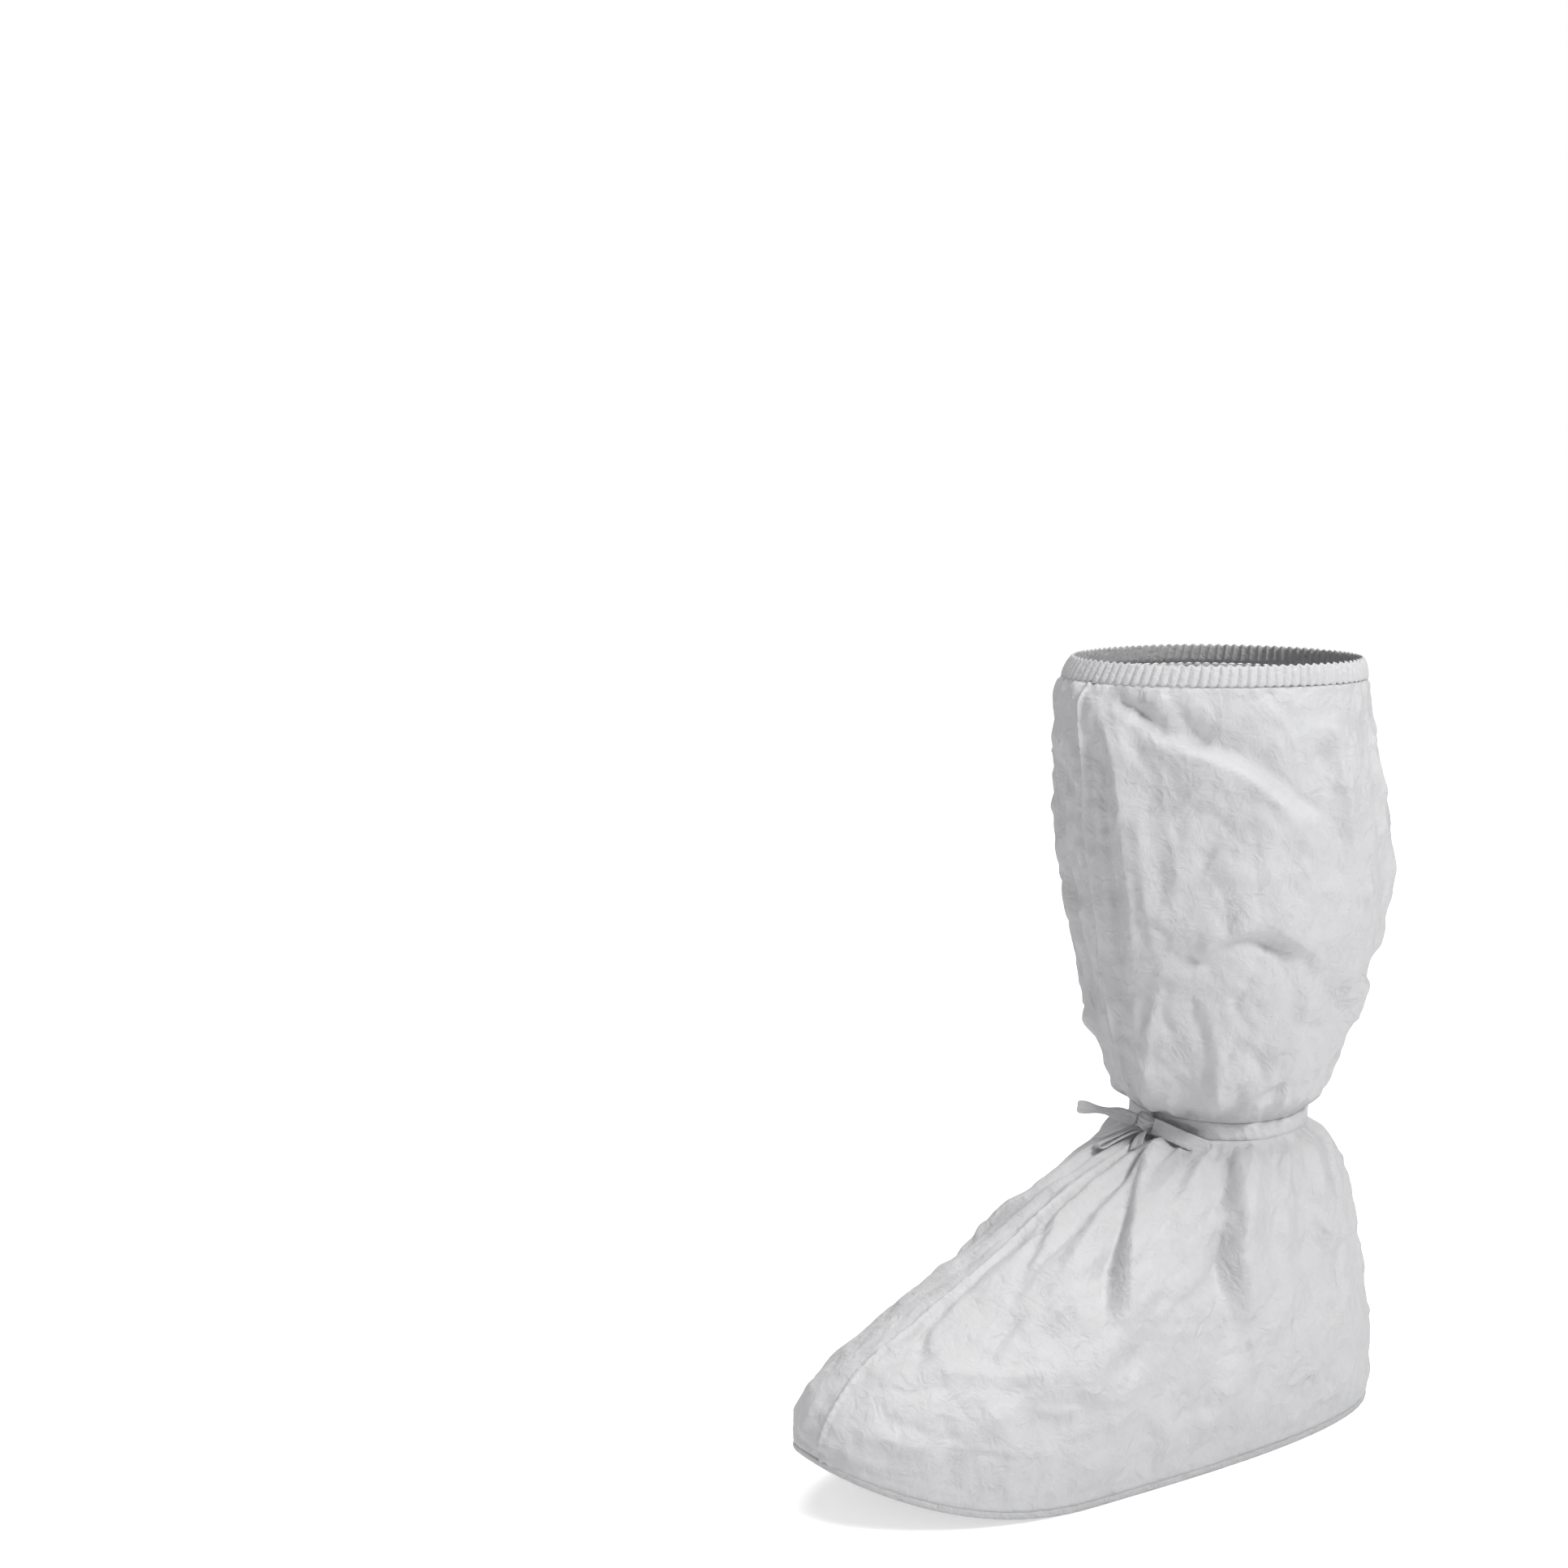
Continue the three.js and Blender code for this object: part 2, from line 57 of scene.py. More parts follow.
# Sizes that the frame holds
SOLE_LOW, SOLE_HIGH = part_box("sole")
TIE_LOW, TIE_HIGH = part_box("ankle_tie")
CASING_LOW, CASING_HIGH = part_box("top_casing")
KNOT_LOW, KNOT_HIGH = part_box("tie_knot")
TOE_REACH = -SOLE_LOW[1]
HEEL_REACH = SOLE_HIGH[1]
SOLE_HALF = SOLE_HIGH[0]
SOLE_BOTTOM = SOLE_LOW[2]
TOP = CASING_HIGH[2]
HEM = CASING_LOW[2]
BAND_LOW = TIE_LOW[2]
BAND_HIGH = TIE_HIGH[2]
ANKLE = (BAND_LOW + BAND_HIGH) / 2

# Sizes of the worn form
LEG_HALF = 78 * MM
ANKLE_FRONT = 37 * MM
ANKLE_BACK = 54 * MM
ANKLE_HALF = 44 * MM
ANKLE_LEAN = -11 * MM
TOE_SPRING = 31 * MM
SPRING_START = 133 * MM
RIM = 2 * MM
SEAM_GAP = 0.3 * MM

# Foot sections: level as a share of the ankle height, front and widest of the toe reach,
# back of the heel reach, side and lean of half the sole width
FOOT_COLUMNS = ("level", "front", "back", "side", "widest", "front_square", "back_square", "lean")
FOOT_SECTIONS = (
    (0.0, 1.0, 1.0, 1.0, 0.46, 2.5, 2.7, 0.0),
    (0.18, 0.97, 0.94, 1.09, 0.43, 2.4, 3.0, 0.02),
    (0.34, 0.9, 0.92, 1.09, 0.37, 2.4, 2.8, 0.03),
    (0.5, 0.77, 0.88, 1.04, 0.27, 2.5, 2.6, 0.02),
    (0.66, 0.585, 0.83, 0.98, 0.16, 2.5, 2.4, 0.0),
    (0.82, 0.38, 0.78, 0.95, 0.09, 2.4, 2.2, -0.05),
    (0.92, 0.235, 0.7, 0.88, 0.02, 2.2, 2.1, -0.14),
)

# Leg sections: level as a share of the way from the tie to the top, the rest of half the leg width
LEG_COLUMNS = ("level", "front", "back", "side", "square", "lean")
LEG_SECTIONS = (
    (0.05, 0.69, 0.73, 0.67, 2.0, -0.08),
    (0.15, 0.83, 0.81, 0.76, 2.0, -0.04),
    (0.3, 0.94, 0.95, 0.87, 2.1, -0.05),
    (0.475, 1.06, 1.06, 0.97, 2.1, -0.03),
    (0.655, 1.13, 1.0, 1.0, 2.1, -0.04),
    (0.8, 1.17, 0.92, 0.97, 2.1, -0.05),
    (0.91, 1.18, 0.87, 0.96, 2.0, -0.08),
    (1.0, 1.08, 0.8, 0.885, 2.0, -0.05),
)

# Folds, by panel side: three points along the fold as (share round from the front seam, share of the fold
# span), depth in millimetres with valleys negative, and its width on each side
FOLD_COLUMNS = ("start", "middle", "end", "depth", "before", "behind")
CRISP_FOLDS = {
    1: (
        ((0.06, 0.975), (0.135, 0.955), (0.2, 0.92), -4.6, 3, 5),
        ((0.18, 0.93), (0.36, 0.897), (0.57, 0.775), -5.2, 5, 9),
        ((0.13, 0.915), (0.3, 0.89), (0.46, 0.78), 6.4, 13, 3.5),
        ((0.3, 0.87), (0.24, 0.85), (0.18, 0.865), 1.6, 4, 4),
        ((0.32, 0.855), (0.38, 0.83), (0.46, 0.8), -2.2, 4, 4),
        ((0.537, 0.955), (0.54, 0.865), (0.575, 0.73), 3.6, 4, 9),
        ((0.67, 0.96), (0.69, 0.86), (0.68, 0.75), 2.8, 5, 9),
        ((0.22, 0.975), (0.26, 0.95), (0.33, 0.945), 2.6, 3, 5),
        ((0.36, 0.975), (0.4, 0.95), (0.44, 0.93), 1.8, 3, 4),
        ((0.045, 0.97), (0.088, 0.83), (0.072, 0.57), 5.8, 4, 15),
        ((0.073, 0.6), (0.06, 0.5), (0.02, 0.4), 4.8, 4, 14),
        ((0.04, 0.93), (0.045, 0.74), (0.03, 0.56), -3.6, 2.5, 3),
        ((0.013, 0.94), (0.018, 0.8), (0.01, 0.5), -2.4, 2, 2.5),
        ((0.16, 0.66), (0.1, 0.53), (0.035, 0.4), 3.4, 3, 12),
        ((0.25, 0.57), (0.262, 0.5), (0.267, 0.41), 2.4, 3, 6),
        ((0.21, 0.64), (0.32, 0.692), (0.51, 0.635), 4.4, 3, 14),
        ((0.36, 0.66), (0.47, 0.605), (0.39, 0.525), 4.2, 5, 8),
        ((0.3, 0.565), (0.35, 0.54), (0.41, 0.515), 2.6, 4, 9),
        ((0.41, 0.57), (0.5, 0.552), (0.63, 0.54), -2.8, 3, 6),
        ((0.32, 0.45), (0.38, 0.475), (0.48, 0.487), 2.6, 4, 3),
        ((0.44, 0.57), (0.47, 0.5), (0.45, 0.4), 2.4, 4, 7),
        ((0.17, 0.88), (0.175, 0.8), (0.2, 0.72), 2.0, 4, 9),
        ((0.13, 0.86), (0.12, 0.74), (0.14, 0.62), 1.8, 3, 6),
        ((0.33, 0.8), (0.42, 0.74), (0.52, 0.74), 1.8, 9, 7),
        ((0.24, 0.78), (0.3, 0.74), (0.29, 0.68), 1.8, 5, 7),
        ((0.7, 0.8), (0.74, 0.7), (0.7, 0.56), 3.0, 6, 12),
        ((0.82, 0.95), (0.86, 0.74), (0.84, 0.5), -4.6, 7, 9),
        ((0.66, 0.62), (0.76, 0.56), (0.92, 0.6), 2.8, 8, 12),
        ((0.92, 0.92), (0.93, 0.74), (0.94, 0.52), 3.2, 5, 7),
        ((0.0, 0.425), (0.19, 0.312), (0.335, 0.197), 8.5, 4.5, 18),
        ((0.05, 0.395), (0.187, 0.297), (0.285, 0.222), -5.5, 7, 3),
        ((0.31, 0.215), (0.318, 0.17), (0.337, 0.12), 3.2, 5, 9),
        ((0.39, 0.185), (0.368, 0.11), (0.335, 0.02), 4.2, 8, 12),
        ((0.24, 0.425), (0.44, 0.3), (0.58, 0.185), 8.5, 4.5, 18),
        ((0.25, 0.415), (0.415, 0.307), (0.53, 0.2), -6.5, 9, 2.5),
        ((0.56, 0.19), (0.555, 0.12), (0.52, 0.03), 4.4, 6, 11),
        ((0.127, 0.24), (0.13, 0.21), (0.142, 0.183), -3.2, 3, 3),
        ((0.01, 0.315), (0.06, 0.28), (0.105, 0.236), -3.2, 2, 3),
        ((0.045, 0.195), (0.018, 0.24), (0.007, 0.32), -3.0, 2, 2),
        ((0.04, 0.2), (0.052, 0.185), (0.07, 0.178), -2.4, 2, 2),
        ((0.02, 0.415), (0.035, 0.32), (0.04, 0.25), 2.6, 2, 3),
        ((0.04, 0.415), (0.075, 0.32), (0.095, 0.25), -3.0, 2.5, 3),
        ((0.06, 0.415), (0.11, 0.32), (0.15, 0.25), 3.4, 3, 5),
        ((0.1, 0.415), (0.16, 0.33), (0.2, 0.26), -2.6, 3, 5),
        ((0.2, 0.415), (0.27, 0.34), (0.32, 0.28), 3.0, 4, 8),
        ((0.34, 0.415), (0.42, 0.34), (0.48, 0.28), 2.4, 4, 8),
        ((0.44, 0.415), (0.55, 0.33), (0.64, 0.22), 3.2, 4, 10),
        ((0.6, 0.415), (0.68, 0.32), (0.76, 0.22), 3.4, 4, 9),
        ((0.78, 0.415), (0.85, 0.29), (0.88, 0.12), 3.2, 5, 9),
        ((0.6, 0.25), (0.66, 0.16), (0.64, 0.04), 2.4, 5, 9),
        ((0.76, 0.2), (0.8, 0.12), (0.78, 0.03), 2.4, 5, 9),
        ((0.07, 0.163), (0.15, 0.174), (0.25, 0.174), 1.8, 4, 3),
        ((0.13, 0.125), (0.15, 0.105), (0.165, 0.088), -2.0, 2.5, 3),
        ((0.26, 0.085), (0.24, 0.06), (0.235, 0.035), 2.0, 4, 4),
        ((0.16, 0.15), (0.22, 0.11), (0.25, 0.08), 2.0, 5, 6),
        ((0.06, 0.06), (0.1, 0.075), (0.15, 0.07), 1.6, 4, 4),
        ((0.4, 0.12), (0.46, 0.08), (0.47, 0.03), 2.0, 5, 7),
    ),
    -1: (
        ((0.05, 0.95), (0.012, 0.85), (0.03, 0.7), 3.4, 2.5, 4),
        ((0.107, 0.95), (0.13, 0.76), (0.07, 0.6), 3.4, 3, 5),
        ((0.08, 0.62), (0.1, 0.52), (0.12, 0.4), 3.2, 3, 5),
        ((0.025, 0.74), (0.01, 0.58), (0.03, 0.4), 3.2, 2.5, 4),
        ((0.08, 0.9), (0.09, 0.74), (0.05, 0.5), -3.6, 3, 4),
        ((0.17, 0.95), (0.19, 0.76), (0.15, 0.5), -3.4, 4, 5),
        ((0.22, 0.95), (0.24, 0.76), (0.2, 0.5), 2.4, 5, 7),
        ((0.25, 0.92), (0.42, 0.86), (0.6, 0.8), 3.6, 6, 12),
        ((0.3, 0.86), (0.45, 0.8), (0.62, 0.72), -4.6, 8, 7),
        ((0.45, 0.7), (0.5, 0.6), (0.46, 0.4), 3.0, 6, 10),
        ((0.66, 0.92), (0.68, 0.74), (0.64, 0.55), 3.2, 8, 10),
        ((0.3, 0.66), (0.45, 0.68), (0.65, 0.6), 3.4, 8, 6),
        ((0.8, 0.95), (0.84, 0.75), (0.82, 0.5), -4.6, 7, 9),
        ((0.92, 0.9), (0.91, 0.7), (0.93, 0.5), 3.0, 5, 7),
        ((0.03, 0.415), (0.15, 0.31), (0.27, 0.2), 4.2, 4, 14),
        ((0.28, 0.415), (0.42, 0.3), (0.53, 0.18), 6.0, 5, 16),
        ((0.54, 0.18), (0.53, 0.1), (0.5, 0.03), 3.4, 7, 9),
        ((0.56, 0.415), (0.66, 0.3), (0.74, 0.2), 3.8, 5, 9),
        ((0.76, 0.415), (0.82, 0.3), (0.86, 0.14), 3.4, 5, 9),
        ((0.015, 0.41), (0.03, 0.32), (0.04, 0.22), -2.0, 2, 2.5),
        ((0.03, 0.41), (0.06, 0.32), (0.08, 0.23), 1.8, 2.5, 3),
        ((0.06, 0.41), (0.1, 0.32), (0.14, 0.24), -2.0, 3, 4),
        ((0.02, 0.02), (0.015, 0.06), (0.012, 0.1), 1.4, 3, 4),
        ((0.08, 0.03), (0.06, 0.08), (0.05, 0.14), 1.8, 3, 4),
        ((0.2, 0.12), (0.3, 0.16), (0.45, 0.15), 2.6, 6, 8),
        ((0.7, 0.25), (0.78, 0.15), (0.76, 0.05), 2.8, 7, 9),
    ),
}
ROUND_FOLDS = {
    1: (
        ((0.29, 0.68), (0.45, 0.63), (0.74, 0.515), -7.5, 9, 8),
    ),
    -1: (),
}

# Slide of the front seam along the outline, in millimetres by share of the fold span
SEAM_SLIDE = (
    (0.0, 8.2), (0.08, 8.0), (0.15, 5.2), (0.2, 4.2), (0.25, 1.4), (0.31, -2.2), (0.36, -1.6), (0.395, 0.0),
)

# Profile of the sole, from its underside's middle round the rim to the inside: share of the outline
# from its middle, and height in millimetres
SOLE_PROFILE = (
    (0.02, 0.0), (0.25, 0.0), (0.5, 0.0), (0.7, 0.0), (0.84, 0.0), (0.93, 0.0), (0.972, 0.0),
    (0.988, 0.2), (0.997, 0.8), (1.0, 1.8), (1.0, 2.9), (0.999, 3.5), (0.995, 3.9), (0.988, 3.9),
    (0.982, 3.2), (0.98, 2.2), (0.965, 1.2), (0.9, 0.9), (0.6, 0.9), (0.3, 0.9), (0.02, 0.9),
)

# Profile of the casing, up its outside and down its inside: share of its height, how far out as a share
# of 0.6 mm, and share of the ruffles' depth
CASING_PROFILE = (
    (0.0, 0.0, 0.6), (0.12, 0.5, 0.9), (0.3, 0.9, 1.0), (0.5, 1.0, 1.0), (0.7, 0.9, 1.0),
    (0.88, 0.5, 1.0), (0.97, 0.1, 1.0), (1.0, -0.5, 0.9), (0.97, -1.1, 0.9), (0.88, -1.4, 0.8),
    (0.6, -1.5, 0.7), (0.3, -1.5, 0.6), (0.0, -1.2, 0.5),
)

# Profile of the tie's band: share of its height and how far out in millimetres
BAND_PROFILE = (
    (0.0, 0.2), (0.03, 0.5), (0.2, 0.72), (0.4, 0.6), (0.6, 0.64), (0.8, 0.74), (0.97, 0.5),
    (1.0, 0.2), (0.9, 0.05), (0.1, 0.05),
)

# Height that the fold table's shares are taken of, and the panels' grid
FOLD_SPAN = 388 * MM
PANEL_ACROSS = 196
FOOT_ROWS = 108
BAND_ROWS = 6
LEG_ROWS = 114
WALL = 0.45 * MM


def table(columns, rows):
    """Rows as dictionaries with named columns."""
    return [dict(zip(columns, row)) for row in rows]


def section_rows():
    """The section table in metres, one row a level: front, back, side, widest, two squares and lean."""
    rows = []
    for r in table(FOOT_COLUMNS, FOOT_SECTIONS):
        rows.append((r["level"] * ANKLE, r["front"] * TOE_REACH, r["back"] * HEEL_REACH,
                     r["side"] * SOLE_HALF, r["widest"] * TOE_REACH, r["front_square"],
                     r["back_square"], r["lean"] * SOLE_HALF))
    for level in (BAND_LOW, BAND_HIGH):
        rows.append((level, ANKLE_FRONT, ANKLE_BACK, ANKLE_HALF, 0.0, 2.0, 2.0, ANKLE_LEAN))
    for r in table(LEG_COLUMNS, LEG_SECTIONS):
        rows.append((BAND_HIGH + r["level"] * (TOP - BAND_HIGH), r["front"] * LEG_HALF,
                     r["back"] * LEG_HALF, r["side"] * LEG_HALF, 0.0, r["square"], r["square"],
                     r["lean"] * LEG_HALF))
    return np.array(rows)


SECTIONS = section_rows()


def section_at(level):
    """Monotone cubic blend of the section rows at each level."""
    x, y = SECTIONS[:, 0], SECTIONS[:, 1:]
    step = np.diff(x)[:, None]
    rate = np.diff(y, axis=0) / step
    slope = np.zeros_like(y)
    early, late = 2 * step[1:] + step[:-1], step[1:] + 2 * step[:-1]
    with np.errstate(divide="ignore", invalid="ignore"):
        mean = (early + late) / (early / rate[:-1] + late / rate[1:])
    slope[1:-1] = np.where(rate[:-1] * rate[1:] > 0, mean, 0)
    slope[0], slope[-1] = rate[0], rate[-1]
    i = np.clip(np.searchsorted(x, level, side="right") - 1, 0, len(x) - 2)
    s = ((level - x[i]) / step[i, 0])[:, None]
    bend = slope[i] * (1 - s) - slope[i + 1] * s
    return (y[i] * (1 + 2 * s) * (1 - s) ** 2 + y[i + 1] * s * s * (3 - 2 * s)
            + bend * step[i] * s * (1 - s))


def smooth_step(low, high, value):
    """Eased ramp from 0 at low to 1 at high."""
    s = np.clip((value - low) / (high - low), 0, 1)
    return s * s * (3 - 2 * s)


def spring_at(level, ahead):
    """Height added by the toe spring: it grows with the square of the reach past its start and fades
    out towards the ankle."""
    foot = RIM + SEAM_GAP
    hold = np.clip((ANKLE - level) / (ANKLE - foot), 0, 1)
    run = np.clip((ahead - SPRING_START) / (TOE_REACH - SPRING_START), 0, None)
    return TOE_SPRING * hold * run * run


def half_outline(level, around, slide=None):
    """Half of the superellipse section at each level, from the front seam to the back seam, sampled at
    shares of its length. A slide in metres moves the front seam along the outline, past the middle where
    it is negative. Returns x, y, the half outline's length and its lean."""
    front, back, side, widest, fs, bs, lean = section_at(level).T[:, :, None]
    angle = np.linspace(0, np.pi, 481)[None]
    sine, ahead = np.sin(angle), np.cos(angle)
    power = np.where(ahead > 0, 2 / fs, 2 / bs)
    reach = np.where(ahead > 0, front - widest, back + widest)
    x = side * np.clip(sine, 0, None) ** power
    y = -(widest + reach * np.sign(ahead) * np.abs(ahead) ** power)
    run = np.hypot(np.diff(x), np.diff(y))
    length = np.concatenate([np.zeros((len(level), 1)), np.cumsum(run, axis=1)], axis=1)
    share = length / length[:, -1:]
    start = (np.zeros(len(level)) if slide is None else slide / length[:, -1])[:, None]
    place = start + (1 - start) * np.asarray(around)[None]
    xs = np.stack([np.interp(abs(place[k]), share[k], x[k]) for k in range(len(level))]) * np.sign(place)
    ys = np.stack([np.interp(abs(place[k]), share[k], y[k]) for k in range(len(level))])
    return xs, ys, length[:, -1], lean[:, 0]


def bare_panel(side, level, around, slide=None):
    """Points of the smooth panel, one row a level."""
    x, y, length, lean = half_outline(level, around, slide)
    z = level[:, None] + spring_at(level[:, None], -y)
    points = np.stack([side * (x + SEAM_GAP / 3) + lean[:, None], y, z], axis=-1)
    return points, length


def grid_normals(points, side):
    """Outward unit normals of a grid, from its two directions, kept in the seam plane at the seams."""
    normal = np.cross(np.gradient(points, axis=1), np.gradient(points, axis=0)) * side
    normal[:, 0, 0] = 0
    normal[:, -1, 0] = 0
    return normal / np.linalg.norm(normal, axis=-1, keepdims=True)


def crease(points, normals, path, depth, before, behind, crisp=True):
    """Height of one fold by its distance from a path, with its own width on each side and eased out at
    both ends: (1 - distance / (1.7 * width)) ** 1.2 for a crisp fold with flat flanks, and
    exp(-(distance / width) ** 1.3) for a round one."""
    reach = 3.2 * max(before, behind)
    low, high = path.min(axis=0) - reach, path.max(axis=0) + reach
    near = np.all((points > low) & (points < high), axis=-1)
    p, n = points[near], normals[near]
    best = np.full(len(p), np.inf)
    along = np.zeros(len(p))
    aside = np.zeros(len(p))
    for k in range(len(path) - 1):
        a, run = path[k], path[k + 1] - path[k]
        t = np.clip((p - a) @ run / (run @ run), 0, 1)
        gap = p - a - t[:, None] * run
        distance = np.linalg.norm(gap, axis=1)
        closer = distance < best
        best = np.where(closer, distance, best)
        along = np.where(closer, (k + t) / (len(path) - 1), along)
        aside = np.where(closer, np.einsum("ij,ij->i", np.cross(run, n), gap), aside)
    width = np.where(aside > 0, before, behind)
    rounded = np.sqrt(best * best + (0.6 * MM) ** 2) - 0.6 * MM
    ease = smooth_step(-0.05, 0.28, along) * smooth_step(-0.05, 0.28, 1 - along)
    if crisp:
        profile = np.clip(1 - rounded / (1.7 * width), 0, 1) ** 1.2
    else:
        profile = np.exp(-((rounded / width) ** 1.3))
    height = np.zeros(points.shape[:2])
    height[near] = depth * ease * profile
    return height


def fold_path(side, start, middle, end):
    """Points on the bare panel along a quadratic curve through the fold's middle."""
    count = 9
    t = np.linspace(0, 1, count)[:, None]
    a, m, b = np.array(start), np.array(middle), np.array(end)
    handle = 2 * m - (a + b) / 2
    place = a * (1 - t) ** 2 + handle * 2 * t * (1 - t) + b * t * t
    level = np.clip(place[:, 1] * FOLD_SPAN, RIM, HEM)
    points, _ = bare_panel(side, level, np.clip(place[:, 0], 0, 1))
    return points[np.arange(count), np.arange(count)]


def main_folds(side, points, normals):
    """Sum of the folds of the tables that lie on this panel. The two widths trade places on the right
    panel, where the outline runs round the other way."""
    total = np.zeros(points.shape[:2])
    for folds, crisp in ((CRISP_FOLDS[side], True), (ROUND_FOLDS[side], False)):
        for f in table(FOLD_COLUMNS, folds):
            path = fold_path(side, f["start"], f["middle"], f["end"])
            widths = (f["before"] * MM, f["behind"] * MM)[::side]
            total += crease(points, normals, path, f["depth"] * MM, *widths, crisp)
    return total


def crumple(side, points, normals, seed, count, depth, width):
    """Sum of small straight creases with random places, turns and lengths, as in crushed paper cloth."""
    rng = np.random.default_rng(seed)
    total = np.zeros(points.shape[:2])
    for _ in range(count):
        around, height = rng.uniform(0.02, 0.98), rng.uniform(0.02, 0.97)
        turn, reach = rng.uniform(0, np.pi), rng.uniform(0.03, 0.13)
        run = np.array([np.cos(turn) * 0.8, np.sin(turn) * 0.6]) * reach
        bow = rng.uniform(-0.012, 0.012, 2)
        place = np.array([around, height])
        path = fold_path(side, place - run, place + bow, place + run)
        size = depth * rng.uniform(0.3, 1.0) * rng.choice([-1, 1])
        spread = width * rng.uniform(0.5, 1.4, 2)
        total += crease(points, normals, path, size, *spread)
    return total


def pleats(around, level, length, seed, edge, away, pitch, depth, reach):
    """Gathers that start at an edge and die away from it. Each is a crest exp(-|offset / width| ** 1.4)
    that widens along its length, at uneven places round the panel."""
    rng = np.random.default_rng(seed)
    distance = np.clip((level - edge) * away, 0, None)[:, None]
    half = length[:, None]
    edge_length = length[np.argmin(np.abs(level - edge))]
    count = int(round(edge_length / pitch))
    total = np.zeros((len(level), len(around)))
    for k in range(count):
        place = (k + 0.5 + rng.uniform(-0.33, 0.33)) / count
        long = reach * rng.choice([0.35, 0.6, 1.0, 1.7], p=[0.3, 0.35, 0.25, 0.1]) * rng.uniform(0.8, 1.2)
        lean = rng.uniform(-0.25, 0.25)
        shifted = place + lean * distance / half
        width = pitch * (0.26 + 0.5 * distance / reach)
        offset = (around[None] - shifted) * half
        crest = np.exp(-np.abs(offset / width) ** 1.4)
        rise = smooth_step(0, 3 * MM, distance) * np.exp(-((distance / long) ** 1.5))
        total += depth * rng.uniform(0.5, 1.15) * crest * rise
    return total - total.mean(axis=1, keepdims=True)


def seam_relief(around, level, length, side):
    """Raised seam edge with a line of needle dimples beside it, at both seams of a panel."""
    total = np.zeros((len(level), len(around)))
    path = np.cumsum(np.concatenate([[0], np.diff(level)]))[:, None]
    for share in (around, 1 - around):
        gap = share[None] * length[:, None]
        beads = 0.8 + 0.2 * np.cos(2 * np.pi * path / (4.1 * MM) + 1.5 * np.sin(2 * np.pi * path / (23 * MM)))
        ridge = 1.3 * MM * beads * np.exp(-((gap / (0.9 * MM)) ** 2))
        groove = -0.25 * MM * np.exp(-(((gap - 2.6 * MM) / (1.2 * MM)) ** 2))
        pulls = 0.6 + 0.4 * np.cos(2 * np.pi * path / (3.4 * MM))
        pucker = 0.35 * MM * np.exp(-gap / (9 * MM)) * np.sin(2 * np.pi * path / (11 * MM) + side)
        total += ridge + groove * pulls + pucker * smooth_step(0, 2 * MM, gap)
    return total


def facets(points, seed, spacing, depth):
    """Crushed facets: depth times the rounded distance to the nearest of many random points, over half
    their spacing, so straight ridges stand where two cells meet."""
    rng = np.random.default_rng(seed)
    flat = points.reshape(-1, 3) * (1, 1, 0.75)
    low, high = flat.min(axis=0), flat.max(axis=0)
    near_surface = flat[rng.integers(0, len(flat), int(len(flat) * 1.9 * MM ** 2 / spacing ** 2))]
    marks = np.clip(near_surface + rng.normal(0, spacing / 6, near_surface.shape), low, high)
    best = np.full(len(flat), np.inf)
    for mark in marks:
        best = np.minimum(best, ((flat - mark) ** 2).sum(axis=1))
    away = np.sqrt(best + (0.22 * spacing) ** 2) / (spacing / 2)
    return (depth * (away - away.mean())).reshape(points.shape[:2])


def level_out(height):
    """Height less 0.9 of its own moving average over 17 cells, taken three times each way: sharp creases
    stay and broad lumps go."""
    cells = 17
    broad = height
    for _ in range(3):
        for axis in (0, 1):
            pad = [(cells // 2 + 1, cells // 2) if k == axis else (0, 0) for k in (0, 1)]
            run = np.cumsum(np.pad(broad, pad, mode="edge"), axis=axis)
            places = np.arange(height.shape[axis])
            broad = (np.take(run, places + cells, axis) - np.take(run, places, axis)) / cells
    return height - 0.9 * broad


def sole_seam(around, level, length):
    """Stitched line just above the sole: a shallow groove with a needle dimple every few millimetres,
    and the panel's lowest edge drawn in under it."""
    rise = (level - RIM - SEAM_GAP)[:, None]
    path = around[None] * length[0]
    dimples = 0.5 + 0.5 * np.cos(2 * np.pi * path / (3.6 * MM))
    groove = -0.55 * MM * np.exp(-(((rise - 5 * MM) / (1.3 * MM)) ** 2)) * (0.35 + 0.65 * dimples)
    pucker = 0.5 * MM * np.exp(-(((rise - 9 * MM) / (6 * MM)) ** 2)) * np.sin(2 * np.pi * path / (13 * MM))
    return groove + pucker - 0.5 * MM * np.exp(-((rise / (0.8 * MM)) ** 2))


def front_peak(around):
    """The front seam stands out as the meeting edge of two flat faces: 1 - share / 0.15."""
    return 4 * MM * np.clip(1 - around[None] / 0.15, 0, None)


def panel_shares():
    """Shares round a panel, close together beside the two seams."""
    edge = np.array([0, 0.0015, 0.003, 0.005, 0.0075, 0.0105, 0.014])
    inner = np.linspace(0.018, 0.982, PANEL_ACROSS - 2 * len(edge))
    return np.concatenate([edge, inner, 1 - edge[::-1]])


def panel_levels():
    """Levels up a panel, with rows close together at the sole seam and at the tie."""
    foot_low = RIM + SEAM_GAP
    foot = foot_low + (BAND_LOW - foot_low) * np.linspace(0, 1, FOOT_ROWS)
    band = np.linspace(BAND_LOW, BAND_HIGH, BAND_ROWS)[1:-1]
    leg = BAND_HIGH + (HEM - SEAM_GAP - BAND_HIGH) * np.linspace(0, 1, LEG_ROWS)
    return np.concatenate([foot, band, leg])


def smooth_panel(side):
    """The panel before it is worn: shares round, levels, points with the seam slid aside, and the half
    outline's length at each level."""
    around, level = panel_shares(), panel_levels()
    shares, slides = np.array(SEAM_SLIDE).T
    slide = side * MM * np.interp(level / FOLD_SPAN, shares, slides)
    points, length = bare_panel(side, level, around, slide)
    return around, level, points, length


